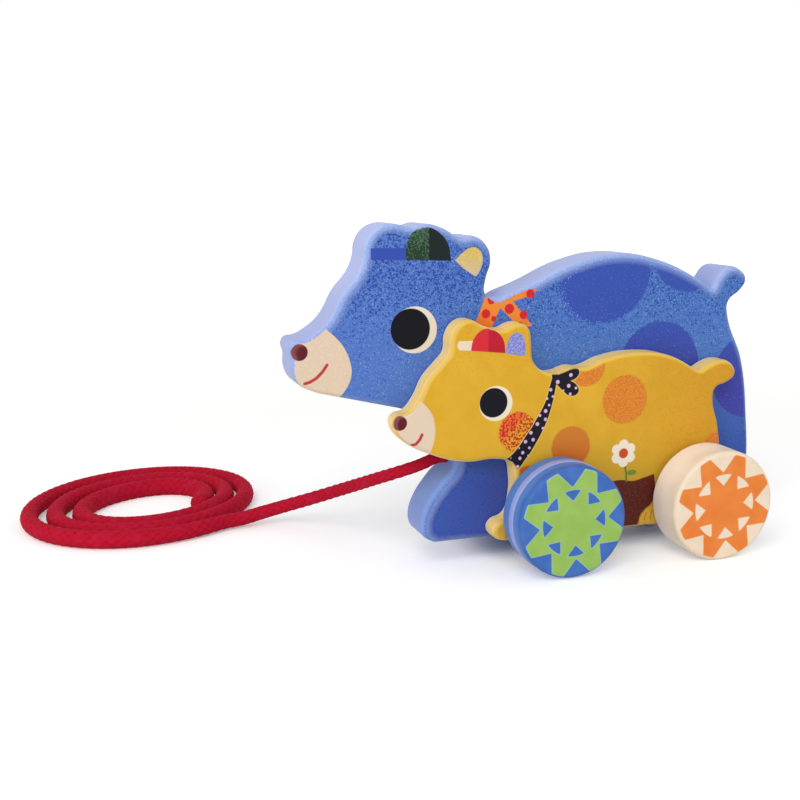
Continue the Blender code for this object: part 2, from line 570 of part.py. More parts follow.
pin_holes = rods("pin_holes", (STRIKE_X, 0.0, BAR_TOP_Z), pin_drills, PIN_SIDES)
for bar in bars:
    combine(bar, "DIFFERENCE", [pin_holes])

# Felt strips under the bars' still places
felt_from = min(BAR_LENGTHS) * STILL_SHARE - FELT_MARGIN
felt_to = max(BAR_LENGTHS) * STILL_SHARE + FELT_MARGIN
for place, left, right in (("left", -felt_to, -felt_from), ("right", felt_from, felt_to)):
    felt = plate(
        "bar_felt_" + place, rectangle(left, 0.0, right, FELT_THICKNESS),
        (STRIKE_X, LEDGE_TOP_Z + FIT), TRACKS[0] - BAR_WIDTH / 2, TRACKS[-1] + BAR_WIDTH / 2)
    combine(finish(felt, "red felt"), "DIFFERENCE", [pin_holes])

# Frame of the chime: a folded plate with a ledge for the bars and an ear for the hammers' pivot
frame_corner = (FRAME_LEFT_X, LEDGE_BOTTOM_Z)
frame_length = FRAME_RIGHT_X - FRAME_LEFT_X
chime_frame = plate(
    "chime_frame", rectangle(0.0, 0.0, frame_length, FRAME_TOP_Z - LEDGE_BOTTOM_Z), frame_corner,
    BACK_PLATE_Y, BACK_PLATE_Y + SHEET)
ledge = plate(
    "frame_ledge", rectangle(0.0, 0.0, frame_length, SHEET), frame_corner, EAR_Y,
    BACK_PLATE_Y + SHEET / 2)
ear_radius = HUB_RADIUS + SHEET
ear_foot = LEDGE_BOTTOM_Z - PIVOT_Z
ear_points = [(-ear_radius, ear_foot), (ear_radius, ear_foot)]
ear_points += arc((0.0, 0.0), ear_radius, 0.0, 180.0, PIN_SIDES)
ear = plate("frame_ear", straight(ear_points), (PIVOT_X, PIVOT_Z), EAR_Y, EAR_Y + SHEET)
frame_pivot_holes = cross_rod(
    "frame_pivot_holes", PIVOT_BORE, PIVOT_X, PIVOT_Z, EAR_Y - BORE_OVERRUN,
    BACK_PLATE_Y + BORE_OVERRUN)
combine(finish(chime_frame, "steel"), "UNION", [ledge, ear])
combine(chime_frame, "DIFFERENCE", [frame_pivot_holes, pin_holes])

# Two screws hold the frame to the pocket's floor
screw_z = FRAME_TOP_Z - FRAME_SCREW_HEAD_RADIUS - FIT
screw_top_y = BACK_PLATE_Y - FIT - FRAME_SCREW_HEAD_HEIGHT
screw_point_y = MOTHER_BACK_Y - FRAME_SCREW_COVER
screw_drills = []
for place, x in (
        ("left", FRAME_LEFT_X + FRAME_SCREW_INSET), ("right", FRAME_RIGHT_X - FRAME_SCREW_INSET)):
    finish(
        headed_pin(
            "frame_screw_" + place, (x, screw_point_y, screw_z), TOWARDS_CUB,
            screw_point_y - screw_top_y, FRAME_SCREW_RADIUS, FRAME_SCREW_HEAD_RADIUS,
            FRAME_SCREW_HEAD_HEIGHT),
        "steel")
    ends = ((x, screw_point_y + FIT, screw_z), (x, BACK_PLATE_Y - BORE_OVERRUN, screw_z))
    screw_drills.append((FRAME_SCREW_RADIUS + FIT, *ends))
screw_holes = rods("screw_holes", (STRIKE_X, 0.0, screw_z), screw_drills, PIN_SIDES)
combine(chime_frame, "DIFFERENCE", [screw_holes])
combine(mother_board, "DIFFERENCE", [screw_holes])

# Cord's knot: it sits in a chamber that the cub's board covers, and its end runs out to the chest
knot_x = FRONT_AXLE_X - KNOT_FROM_AXLE
cord_z = AXLE_Z + CORD_HOLE_RISE
chest_x = FRONT_AXLE_X - CORD_HOLE_FROM_AXLE
cord_start_x = chest_x + CORD_START_INSIDE
knot_end = knot_x - cord_start_x - FIT
knot_radius = 2 * KNOT_STRAND_RADIUS
taut_radius = CORD_TAUT_DIAMETER / 2
knot_profile = [(0.0, knot_end), (taut_radius, knot_end), (taut_radius, knot_radius)]
for middle in (KNOT_STRAND_RADIUS, -KNOT_STRAND_RADIUS):
    lobe = (KNOT_STRAND_RADIUS, middle)
    knot_profile += arc(lobe, KNOT_STRAND_RADIUS, KNOT_LOBE_ARC, -KNOT_LOBE_ARC, KNOT_ARC_STEPS)
knot_profile.append((0.0, -knot_radius))
knot_middle = (knot_x, MOTHER_MIDDLE_Y, cord_z)
finish(turned("cord_knot", knot_profile, knot_middle, FORWARDS, False, PIN_SIDES), "red cotton")
knot_chamber = cross_rod(
    "knot_chamber", math.hypot(knot_radius, knot_radius) + FIT, knot_x, cord_z,
    MOTHER_FACE_Y - BORE_OVERRUN, MOTHER_MIDDLE_Y + knot_radius + FIT)
bore_end = (chest_x - 2 * BORE_OVERRUN, MOTHER_MIDDLE_Y, cord_z)
cord_hole = rods("cord_hole", knot_middle, [(CORD_BORE, knot_middle, bore_end)])
combine(mother_board, "DIFFERENCE", [knot_chamber, cord_hole])


def cord_tube(name, points, diameters, bevel_resolution):
    """A round tube along the points, with a diameter at each."""
    curve = bpy.data.curves.new(name, "CURVE")
    curve.dimensions = "3D"
    curve.bevel_depth = CORD_DIAMETER / 2
    curve.bevel_resolution = bevel_resolution
    curve.use_fill_caps = True
    spline = curve.splines.new("POLY")
    spline.points.add(len(points) - 1)
    for place, (x, y, z), diameter in zip(spline.points, points, diameters):
        place.co = (x, y, z, 1.0)
        place.radius = diameter / CORD_DIAMETER
    return finish(bpy.data.objects.new(name, curve), "red cotton")


def run_along(points):
    """Distance along a line of points at each of them."""
    return np.concatenate([[0.0], np.cumsum(np.linalg.norm(np.diff(points, axis=0), axis=1))])


def smooth_route(points, spacing):
    """A smooth curve through the points, evenly spaced but for its straight first and last steps."""
    points = np.array(points)
    share = np.linspace(0.0, 1.0, CORD_STEPS_BETWEEN, endpoint=False)[:, None]
    stretches = []
    for a, b, c, d in zip(points, points[1:], points[2:], points[3:]):
        bend = (2 * a - 5 * b + 4 * c - d) * share ** 2 + (3 * b - a - 3 * c + d) * share ** 3
        stretches.append(b + ((c - a) * share + bend) / 2)
    dense = np.vstack(stretches + [points[-2:-1]])
    run = run_along(dense)
    marks = np.linspace(0.0, run[-1], round(run[-1] / spacing) + 1)
    even = np.column_stack([np.interp(marks, run, dense[:, i]) for i in range(3)])
    return np.vstack([points[:1], even, points[-1:]])


# Coil, lying on the floor
coil_count = round(COIL_SWEEP / 360.0 * COIL_POINTS_PER_TURN) + 1
coil_turns = np.linspace(0.0, COIL_SWEEP / 360.0, coil_count)
coil_angles = np.radians(COIL_START - 360.0 * coil_turns)
oval_x = (COIL_HALVES[0] - COIL_PITCH * coil_turns) * np.cos(coil_angles)
oval_y = (COIL_HALVES[1] - COIL_PITCH * coil_turns) * np.sin(coil_angles)
turned_cos = math.cos(math.radians(COIL_TURNED))
turned_sin = math.sin(math.radians(COIL_TURNED))
coil_points = np.column_stack([
    COIL_CENTRE[0] + COIL_DRIFT[0] * coil_turns + turned_cos * oval_x - turned_sin * oval_y,
    COIL_CENTRE[1] + COIL_DRIFT[1] * coil_turns + turned_sin * oval_x + turned_cos * oval_y,
    np.full(coil_count, CORD_DIAMETER / 2)])
cord_tube("cord_coil", coil_points, np.full(coil_count, CORD_DIAMETER), COIL_BEVEL_STEPS)

# Free cord: straight out of the chest, down to the floor and into line with the coil
coil_way = (coil_points[1] - coil_points[0]) / np.linalg.norm(coil_points[1] - coil_points[0])
cord_route = [(cord_start_x, MOTHER_MIDDLE_Y, cord_z)]
cord_route.append((chest_x - CORD_DIAMETER / 2, MOTHER_MIDDLE_Y, cord_z))
cord_route += [(x * MM, y * MM, z * MM) for x, y, z in CORD_ROUTE]
cord_route += [coil_points[0] - coil_way * CORD_DIAMETER, coil_points[0] - coil_way * FIT]
free_points = smooth_route(cord_route, 2 * CORD_DIAMETER)
free_run = run_along(free_points)
swell = np.clip(free_run / CORD_SWELL_LENGTH, 0.0, 1.0)
free_diameters = CORD_TAUT_DIAMETER + (CORD_DIAMETER - CORD_TAUT_DIAMETER) * swell
cord_tube("pull_cord", free_points, free_diameters, FREE_BEVEL_STEPS)

# Least gap between the coil's turns, measured on its points
apart = np.linalg.norm(coil_points[:, None] - coil_points[None, :], axis=2)
steps_apart = np.abs(np.arange(coil_count)[:, None] - np.arange(coil_count)[None, :])
least_gap = apart[steps_apart > COIL_POINTS_PER_TURN // 2].min() - CORD_DIAMETER
print("coil: least gap between its turns %.2f mm" % (least_gap / MM))
print("cord: %.0f mm free and %.0f mm coiled" % (free_run[-1] / MM, run_along(coil_points)[-1] / MM))
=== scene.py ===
import math

import bpy
import numpy as np
from mathutils import Matrix, Vector
from mathutils.geometry import delaunay_2d_cdt


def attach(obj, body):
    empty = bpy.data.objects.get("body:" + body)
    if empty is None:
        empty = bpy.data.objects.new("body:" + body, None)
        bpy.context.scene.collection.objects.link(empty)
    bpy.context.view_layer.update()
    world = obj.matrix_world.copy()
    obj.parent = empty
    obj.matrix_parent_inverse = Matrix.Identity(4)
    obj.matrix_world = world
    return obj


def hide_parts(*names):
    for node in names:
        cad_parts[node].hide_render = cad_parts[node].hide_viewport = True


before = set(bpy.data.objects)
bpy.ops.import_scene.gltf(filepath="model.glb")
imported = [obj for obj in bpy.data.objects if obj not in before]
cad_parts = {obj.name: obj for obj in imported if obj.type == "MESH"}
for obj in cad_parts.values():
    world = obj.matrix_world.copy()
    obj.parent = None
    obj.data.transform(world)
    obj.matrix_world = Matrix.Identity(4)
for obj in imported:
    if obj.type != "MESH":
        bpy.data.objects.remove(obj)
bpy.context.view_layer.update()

MM = 0.001
scene = bpy.context.scene

# The camera stands at the photograph's height and distance, to the left of the toy's near side.
# Its direction, tilt and distance were worked out from the two boards and the wheels.
LENS = 49.794
AIM = Vector((-73.92, -36.45, 83.51)) * MM
DISTANCE = 433.865 * MM
TURN, RISE, TILT = (math.radians(angle) for angle in (-18.04899, 11.24964, -0.37937))

back = Vector((math.sin(TURN) * math.cos(RISE), -math.cos(TURN) * math.cos(RISE), math.sin(RISE)))
level = Vector((math.cos(TURN), math.sin(TURN), 0.0))
upright = back.cross(level)
across = level * math.cos(TILT) + upright * math.sin(TILT)
up = upright * math.cos(TILT) - level * math.sin(TILT)
camera_data = bpy.data.cameras.new("camera")
camera_data.lens = LENS
camera_data.sensor_width = 36.0
camera_data.clip_start = 0.01
camera = bpy.data.objects.new("camera", camera_data)
camera.matrix_world = (
    Matrix.Translation(AIM + back * DISTANCE) @ Matrix((across, up, back)).transposed().to_4x4())
scene.collection.objects.link(camera)
scene.camera = camera
scene.view_settings.view_transform = "Standard"

# Studio: a plain white floor and a white room, one large soft lamp high on the left and weaker ones
# on both sides. The camera sees floor and room as white, and the toy still shades the floor. A painted
# shadow darkens the floor under the toy's far half.
FLOOR_HALF = 4.0
FLOOR_SHADE = "F4F4F3"
FLOOR_GLOW, FAR_GLOW = 0.29, 0.62     # beside the toy, and far behind it
GLOW_FROM, GLOW_TO = 0.35, 1.5        # metres from the toy, between which the glow grows
SHADOW_MIDDLE, SHADOW_HALF = (0.045, 0.026, 0.0), (0.056, 0.012, 0.0)    # painted shadow: no glow under the far half
SHADOW_FADE = 0.022
ROOM_LEVEL = 0.55
LAMPS = (                # name, place, size across and power
    ("key_lamp", (-0.75, -1.15, 1.25), 1.0, 13.8),
    ("fill_lamp", (1.25, -0.9, 0.6), 0.9, 2.6),
    ("side_lamp", (-1.25, -0.7, 0.3), 0.9, 3.9),
)


def linear(code):
    """An sRGB hex colour in linear light: c / 12.92 up to 0.04045, else ((c + 0.055) / 1.055) ** 2.4."""
    part = np.array([int(code[i:i + 2], 16) for i in (0, 2, 4)]) / 255.0
    part = np.where(part <= 0.04045, part / 12.92, ((part + 0.055) / 1.055) ** 2.4)
    return (*part.tolist(), 1.0)


def join(tree, node, *values, **named):
    """Set a node's sockets, the live ones in order and others by name.

    Each gets a value, a colour's hex code, or a socket or a node that is linked to it.
    """
    live = [socket for socket in node.inputs if socket.enabled]
    pairs = list(zip(live, values))
    pairs += [(node.inputs[name.replace("_", " ")], value) for name, value in named.items()]
    for socket, value in pairs:
        if isinstance(value, bpy.types.Node):
            value = next(output for output in value.outputs if output.enabled)
        if isinstance(value, bpy.types.NodeSocket):
            tree.links.new(value, socket)
        else:
            socket.default_value = linear(value) if isinstance(value, str) else value
    return node


def add(tree, kind, *values, **named):
    """Add one node. Names in small letters are its settings, and the others its sockets."""
    node = tree.nodes.new("ShaderNode" + kind)
    for name in filter(str.islower, list(named)):
        setattr(node, name, named.pop(name))
    return join(tree, node, *values, **named)


def seen_directly(tree):
    """1 for rays from the camera and for mirrored or refracted ones, 0 for the light that they shed."""
    path = add(tree, "LightPath").outputs
    both = add(tree, "Math", path["Is Camera Ray"], path["Is Glossy Ray"], operation="ADD")
    return add(tree, "Math", both, path["Is Transmission Ray"], operation="ADD", use_clamp=True)


room = bpy.data.worlds.new("white_room")
scene.world = room
room.use_nodes = True
tree = room.node_tree
strength = add(tree, "MapRange", seen_directly(tree), 0.0, 1.0, ROOM_LEVEL, 1.0)
join(tree, tree.nodes["Background"], Color="FFFFFF", Strength=strength)

floor_paint = bpy.data.materials.new("white studio floor")
floor_paint.use_nodes = True
tree = floor_paint.node_tree
tree.nodes.remove(tree.nodes["Principled BSDF"])
matt = add(tree, "BsdfDiffuse", Color=FLOOR_SHADE)
place = add(tree, "TexCoord").outputs["Object"]
away = add(tree, "VectorMath", place, operation="LENGTH")
# A painted shadow on the floor: the glow fades out in a box under the toy's far half.
beyond = add(tree, "VectorMath", place, SHADOW_MIDDLE, operation="SUBTRACT")
beyond = add(tree, "VectorMath", beyond, operation="ABSOLUTE")
beyond = add(tree, "VectorMath", beyond, SHADOW_HALF, operation="SUBTRACT")
beyond = add(tree, "VectorMath", beyond, (0.0, 0.0, 0.0), operation="MAXIMUM")
beyond = add(tree, "VectorMath", beyond, operation="LENGTH")
outside_painted_shadow = add(tree, "MapRange", beyond, 0.0, SHADOW_FADE, interpolation_type="SMOOTHSTEP")
glow = add(tree, "MapRange", away, GLOW_FROM, GLOW_TO, FLOOR_GLOW, FAR_GLOW)
glow = add(tree, "Math", outside_painted_shadow, glow, operation="MULTIPLY")
glow = add(tree, "Math", seen_directly(tree), glow, operation="MULTIPLY")
lit = add(tree, "Emission", Strength=glow)
join(tree, tree.nodes["Material Output"], Surface=add(tree, "AddShader", matt, lit))
floor_mesh = bpy.data.meshes.new("floor")
floor_mesh.from_pydata(
    [(x * FLOOR_HALF, y * FLOOR_HALF, 0.0) for x, y in ((-1, -1), (1, -1), (1, 1), (-1, 1))],
    [], [(0, 1, 2, 3)])
floor_mesh.materials.append(floor_paint)
floor = bpy.data.objects.new("floor", floor_mesh)
scene.collection.objects.link(floor)

for name, place, size, power in LAMPS:
    lamp_data = bpy.data.lights.new(name, "AREA")
    lamp_data.size = size
    lamp_data.energy = power
    lamp = bpy.data.objects.new(name, lamp_data)
    lamp.matrix_world = (
        Matrix.Translation(place) @ Vector(place).to_track_quat("Z", "Y").to_matrix().to_4x4())
    scene.collection.objects.link(lamp)

# Pull cord: a soft braid of red cotton, 0.96 m long. It comes out of the mother's chest, drawn
# thin where its knot holds it, runs down to the floor and lies slack there in a coil with a cut end.
CORD_DIAMETER = 0.0084
CORD_MIDDLE_Y = 0.00515
CORD_HOLE_Z = 0.0479
CHEST_X = -0.03895
CORD_START_INSIDE = 0.002
CORD_ROUTE = (
    (-50.5, 5.15, 45.4), (-56.5, 7.4, 43.0), (-61.5, 12.9, 40.0), (-65.2, 21.4, 36.3),
    (-69.0, 31.9, 31.8), (-73.5, 44.1, 26.6), (-79.5, 56.8, 20.9), (-87.3, 68.4, 15.3),
    (-97.0, 78.0, 10.2), (-107.3, 82.6, 6.6), (-117.4, 82.4, 4.6),
)
COIL_CENTRE = (-0.1600, 0.1296)
COIL_HALVES = (0.0577, 0.0655)
COIL_TURNED = math.radians(-45.6)
COIL_PITCH = 0.0118
COIL_DRIFT = (0.0009, -0.0019)
COIL_START, COIL_SWEEP = -16.4, 1046.0
BRAID_STRANDS = 6        # each way round the cord
BRAID_REPEAT = 5.0       # mm along the cord from one stitch to the next
BRAID_DEPTH = 0.00035
STITCH_CROWN = 0.7       # below 1, so that each stitch is full, with a narrow groove beside it
CORD_SWELL = (           # length run, and the cord's width there
    (0.0, 0.0050), (0.118, 0.0064), (0.19, 0.0083), (0.5, 0.0090), (0.96, 0.0094))
CORD_SIDES = 40
CORD_STEP = 0.0007
CORD_SMOOTHING = 6       # rounds of smoothing, so that the joined stretches bend evenly
COIL_POINTS = 1200
CUT_END = 0.0016         # length over which the cut end rounds off
CUT_WIDTH = 0.35         # what is left of its width there


def evenly(line, spacing):
    """A line's points at even distances: each coordinate as a function of the length run so far."""
    run = np.concatenate([[0.0], np.cumsum(np.linalg.norm(np.diff(line, axis=0), axis=1))])
    marks = np.linspace(0.0, run[-1], round(run[-1] / spacing) + 1)
    return np.column_stack([np.interp(marks, run, part) for part in line.T])


def through(points, steps):
    """Smooth line through points: b + ((c - a)s + (2a - 5b + 4c - d)s^2 + (3b - a - 3c + d)s^3) / 2."""
    share = np.linspace(0.0, 1.0, steps, endpoint=False)[None, :, None]
    a, b, c, d = (points[i:len(points) - 3 + i, None] for i in range(4))
    bend = (2 * a - 5 * b + 4 * c - d) * share ** 2 + (3 * b - a - 3 * c + d) * share ** 3
    return np.vstack([(b + ((c - a) * share + bend) / 2).reshape(-1, 3), points[-2:-1]])


def round_faces(rows, columns, closed=False):
    """Quads between rows of points closed round their columns, and from last to first row if closed.

    Point (i, j) is number i * columns + j.
    """
    i, j = np.mgrid[0:rows - (not closed), 0:columns]
    after, beside = (i + 1) % rows, (j + 1) % columns
    return np.stack([i * columns + j, i * columns + beside, after * columns + beside,
                     after * columns + j], -1).reshape(-1, 4)


def end_fans(rows, columns):
    """Triangles that close both ends of such rows with two poles, numbered after their points."""
    ring = np.arange(columns)
    after = (ring + 1) % columns
    last = (rows - 1) * columns
    return np.vstack([np.stack([after, ring, np.full(columns, rows * columns)], -1),
                      np.stack([last + ring, last + after, np.full(columns, rows * columns + 1)], -1)])


def new_piece(name, points, faces, materials, body, sharp=40.0):
    """A shaded mesh piece from whole arrays of points and faces, riding on a body."""
    mesh = bpy.data.meshes.new(name)
    mesh.from_pydata(points.tolist(), [], faces)
    mesh.shade_smooth()
    mesh.set_sharp_from_angle(angle=math.radians(sharp))
    for material in materials:
        mesh.materials.append(material)
    piece = bpy.data.objects.new(name, mesh)
    scene.collection.objects.link(piece)
    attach(piece, body)
    return piece


def finish_of(name, **levels):
    """A material, its nodes, its shader with levels that are the same all over, and the point's place."""
    material = bpy.data.materials.new(name)
    material.use_nodes = True
    tree = material.node_tree
    shader = join(tree, tree.nodes["Principled BSDF"], **levels)
    return material, tree, shader, add(tree, "TexCoord").outputs["Object"]


def shade(tree, below, above, drive, low, high, start=0.0, end=1.0):
    """A colour that turns from below to above: its share runs start to end as drive runs low to high."""
    share = add(tree, "MapRange", drive, low, high, start, end)
    return add(tree, "Mix", share, below, above, data_type="RGBA")


coil_turns = np.linspace(0.0, COIL_SWEEP / 360.0, COIL_POINTS)
coil_angles = np.radians(COIL_START - 360.0 * coil_turns)
oval_x = (COIL_HALVES[0] - COIL_PITCH * coil_turns) * np.cos(coil_angles)
oval_y = (COIL_HALVES[1] - COIL_PITCH * coil_turns) * np.sin(coil_angles)
coil_x, coil_y = (centre + drift * coil_turns for centre, drift in zip(COIL_CENTRE, COIL_DRIFT))
coil = np.column_stack([
    coil_x + math.cos(COIL_TURNED) * oval_x - math.sin(COIL_TURNED) * oval_y,
    coil_y + math.sin(COIL_TURNED) * oval_x + math.cos(COIL_TURNED) * oval_y,
    np.full(len(coil_turns), CORD_DIAMETER / 2)])
coil_way = (coil[1] - coil[0]) / np.linalg.norm(coil[1] - coil[0])
route = np.vstack([
    [(CHEST_X + CORD_START_INSIDE, CORD_MIDDLE_Y, CORD_HOLE_Z),
     (CHEST_X - CORD_DIAMETER / 2, CORD_MIDDLE_Y, CORD_HOLE_Z)],
    np.array(CORD_ROUTE) * MM, [coil[0] - coil_way * CORD_DIAMETER, coil[0]]])
free_run = np.vstack([route[:1], through(route, steps=16)])
centre = evenly(np.vstack([free_run, coil]), CORD_STEP)
for _ in range(CORD_SMOOTHING):
    centre[1:-1] = (centre[:-2] + 2 * centre[1:-1] + centre[2:]) / 4
along = np.arange(len(centre)) * CORD_STEP
way = np.gradient(centre, axis=0)
way /= np.linalg.norm(way, axis=1)[:, None]
side = np.cross((0.0, 0.0, 1.0), way)
side /= np.linalg.norm(side, axis=1)[:, None]
top = np.cross(way, side)
turn = np.arange(CORD_SIDES) / CORD_SIDES
left_lay = BRAID_STRANDS * turn[None, :] + along[:, None] / (BRAID_REPEAT * MM)
right_lay = BRAID_STRANDS * turn[None, :] - along[:, None] / (BRAID_REPEAT * MM)
stitch = np.abs(np.sin(math.pi * left_lay) * np.sin(math.pi * right_lay)) ** STITCH_CROWN
cord_radius = np.interp(along, *np.array(CORD_SWELL).T) / 2
to_end = np.clip((along[-1] - along) / CUT_END, 0.0, 1.0)
cord_radius *= CUT_WIDTH + (1.0 - CUT_WIDTH) * np.sqrt(1.0 - (1.0 - to_end) ** 2)
reach = cord_radius[:, None] + BRAID_DEPTH * (stitch - 0.5) * to_end[:, None]
spin = 2 * math.pi * turn
around = np.cos(spin)[None, :, None] * side[:, None] + np.sin(spin)[None, :, None] * top[:, None]
cord_points = (centre[:, None] + around * reach[..., None]).reshape(-1, 3)
cord_points[:, 2] = np.maximum(cord_points[:, 2], 0.0)     # it lies flat where it rests

# Dyed cotton braid: matt and slightly furry, with soft grooves between stitches, painted darker as
# painted shade, and fine fibres.
cotton, tree, shader, place = finish_of(
    "dyed cotton braid", Roughness=0.8, Specular_IOR_Level=0.08, Sheen_Weight=0.12, Sheen_Roughness=0.4,
    Sheen_Tint="E84A6C")
lay = add(tree, "UVMap", uv_map="braid")
lays = add(tree, "SeparateXYZ", lay).outputs
lobes, cells, fibres = [], [], []
for part, fibre_run in (("X", (14.0, 1.6, 1.0)), ("Y", (1.6, 14.0, 1.0))):
    wave = add(tree, "Math", lays[part], math.pi, operation="MULTIPLY")
    wave = add(tree, "Math", wave, operation="SINE")
    lobes.append(add(tree, "Math", wave, operation="ABSOLUTE"))
    cells.append(add(tree, "Math", lays[part], operation="FLOOR"))
    stretched = add(tree, "Mapping", Vector=lay, Scale=fibre_run)
    fibres.append(add(tree, "TexNoise", Vector=stretched, Scale=1.0, Detail=2.0))
height = add(tree, "Math", *lobes, operation="MULTIPLY")
odd = add(tree, "Math", *cells, operation="ADD")
odd = add(tree, "Math", odd, 2.0, operation="MODULO")
odd = add(tree, "Math", odd, operation="ABSOLUTE")
fibre = add(tree, "Mix", odd, fibres[0], fibres[1])
dyed_and_shaded = shade(tree, "AC0C27", "C31734", fibre, 0.3, 0.7)
# Darker in the grooves between stitches: painted shade.
dyed_and_shaded = shade(tree, "A80B24", dyed_and_shaded, height, 0.0, 0.2)
faded = add(tree, "TexNoise", Vector=place, Scale=0.15 / MM, Detail=2.0)
dyed_and_shaded = shade(tree, dyed_and_shaded, "C22248", faded, 0.5, 0.75, 0.0, 0.5)
relief = add(tree, "Math", height, fibre, operation="ADD")
bump = add(tree, "Bump", Height=relief, Strength=0.35, Distance=0.25 * MM)
join(tree, shader, Base_Color=dyed_and_shaded, Normal=bump)

cord_faces = round_faces(len(centre), CORD_SIDES).tolist() + end_fans(len(centre), CORD_SIDES).tolist()
cord_points = np.vstack([cord_points, centre[:1], centre[-1:]])
pull_cord = new_piece(
    "pull_cord_braided", cord_points, cord_faces, [cotton], "boards", sharp=180.0)
quad_turn = np.stack([turn, turn + 1 / CORD_SIDES, turn + 1 / CORD_SIDES, turn], -1)[None]
quad_along = np.stack([along[:-1], along[:-1], along[1:], along[1:]], -1)[:, None]
fan_turn = np.stack([turn + 1 / CORD_SIDES, turn, turn], -1)
fan_along = np.repeat(along[[0, -1]], CORD_SIDES)[:, None] * np.ones(3)
corner_turn = np.concatenate([np.broadcast_to(quad_turn, (len(along) - 1, CORD_SIDES, 4)).ravel(),
                              np.tile(fan_turn, (2, 1)).ravel()])
corner_along = np.concatenate([np.broadcast_to(quad_along, (len(along) - 1, CORD_SIDES, 4)).ravel(),
                               fan_along.ravel()]) / (BRAID_REPEAT * MM)
braid_map = pull_cord.data.uv_layers.new(name="braid")
braid_map.data.foreach_set("uv", np.stack([
    BRAID_STRANDS * corner_turn + corner_along, BRAID_STRANDS * corner_turn - corner_along], -1).ravel())
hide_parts("pull_cord", "cord_coil")

# Boards: both bears are sawn from 20 and 10 mm beech, rounded at their edges, drilled, sprayed with
# lacquer and printed. Every printed shape is kept on the points as its distance in mm from its line.
FRONT_AXLE_X, AXLE_Z, WHEEL_BASE = 0.00345, 0.025, 0.0738
EDGE_ROUNDING = 0.002
CUB_NEAR_Y, CUB_FAR_Y = -0.01515, -0.00515
MOTHER_NEAR_Y, MOTHER_FAR_Y = -0.00485, 0.01515
POCKET_FLOOR_Y = 0.01055
BUSH_BORE = 0.0051
DOWEL_BORE = 0.0033
DOWEL_IN_CUB, DOWEL_IN_MOTHER = 0.0063, 0.0083
KNOT_BORE = 0.00822
KNOT_PLACE = (-0.007, 0.0229)
KNOT_BORE_Y = 0.01105
EDGE_SPACING = 1.0       # mm between points along an outline
CORNER_SOFTENING = 0.7   # mm, so that no corner is sharper than the edge rounding
HOLD = 0.3               # mm from the rounding to the row that keeps the flat face flat
COARSE, FINE = 2.4, 0.4  # mm between points on a plain face, and beside a printed line
FINE_REACH = 0.6
MOTHER_LIT_SIDE = (-1.3, 1.5)    # mm: shift towards the edges that face up and to the left, which get the painted highlight
CUB_LIT_SIDE = (-1.1, 0.5)
IN_BORE = 50.0           # mm, so that no edge colour comes near a bore
HALF_CELL = 0.75         # a coarse cell's half diagonal, rounded up, for a side of 1
GRAIN_EDGE = 0.02        # half of the noise's rise from outside a grain to inside it
PRINT_EDGE = 0.14        # mm from a print's line to where its ink is full or gone
ROUND_HANDLE, LONGER_SIDE = 2.5614, 5    # what automatic curve handles are drawn with
PAIRS_AT_ONCE = 4000000  # places times stretches that are measured in one go, to spare memory
ARC_ROWS = 6
SIDE_ROWS = 5
SHARP = True             # marks an outline's corners, and its other points are rounded
MOTHER_OUTLINE = (
    (-114.2, 76.3), (-112.6, 79.2), (-109.0, 79.7), (-104.4, 81.8), (-97.6, 87.4), (-91.2, 98.2),
    (-85.0, 105.6), (-82.4, 111.5), (-81.4, 117.8), (-77.5, 123.4), (-70.5, 125.7), (-62.0, 124.2),
    (-55.5, 125.4), (-47.5, 123.4), (-40.0, 119.6), (-34.0, 120.0), (-28.0, 116.2), (-25.7, 109.8),
    (-28.0, 101.0), (-28.2, 95.4), (-24.2, 92.9), (-17.5, 95.2), (-8.0, 98.6), (12.0, 107.0),
    (34.0, 110.9), (54.0, 107.8), (74.0, 99.4), (83.6, 93.2, SHARP), (86.4, 99.0), (91.0, 103.2),
    (98.0, 101.9), (101.7, 97.2), (99.0, 92.4), (92.8, 87.2), (93.0, 80.6), (101.4, 60.0),
    (106.0, 32.0), (107.3, 8.0), (104.6, -8.0), (98.0, -13.2, SHARP), (58.0, -13.2, SHARP),
    (53.0, -9.0), (47.0, -4.0), (30.0, -4.0), (24.0, -9.0), (19.0, -13.2, SHARP),
    (-51.5, -13.2, SHARP), (-56.6, -9.6), (-57.9, -4.0), (-55.6, 4.0), (-48.5, 14.0), (-42.4, 21.0),
    (-42.4, 27.5), (-47.0, 36.0), (-56.0, 44.0), (-66.5, 47.9, SHARP), (-103.0, 57.0, SHARP),
    (-110.8, 61.4), (-113.4, 68.0), (-113.2, 72.8)
)
CUB_OUTLINE = (
    (-73.2, 45.2), (-71.6, 47.2), (-67.4, 48.2), (-62.6, 53.6), (-58.2, 62.0), (-52.4, 68.3),
    (-48.9, 72.4), (-48.2, 79.0), (-44.8, 84.4), (-39.6, 86.0), (-33.2, 83.0), (-24.6, 81.2),
    (-20.4, 83.0), (-16.0, 83.4), (-12.2, 80.6), (-11.0, 74.6), (-9.8, 66.4), (-5.0, 62.0),
    (0.4, 61.2), (8.0, 63.2), (13.4, 62.7), (24.0, 66.2), (41.0, 68.0), (57.0, 65.4),
    (71.6, 57.8, SHARP), (76.2, 60.4), (83.0, 62.2), (88.8, 60.2), (91.2, 55.2), (87.6, 51.8),
    (81.2, 49.2), (80.2, 44.6), (83.4, 31.6), (85.6, 14.0), (84.0, -4.0), (77.0, -12.4, SHARP),
    (-22.6, -12.4, SHARP), (-26.9, -10.6), (-28.4, -7.0), (-26.4, -3.8), (-21.0, -1.6),
    (-18.6, 4.0), (-18.2, 17.0), (-19.8, 22.6), (-25.6, 24.8), (-40.6, 24.8), (-56.7, 29.4),
    (-70.4, 37.6), (-73.0, 42.0)
)


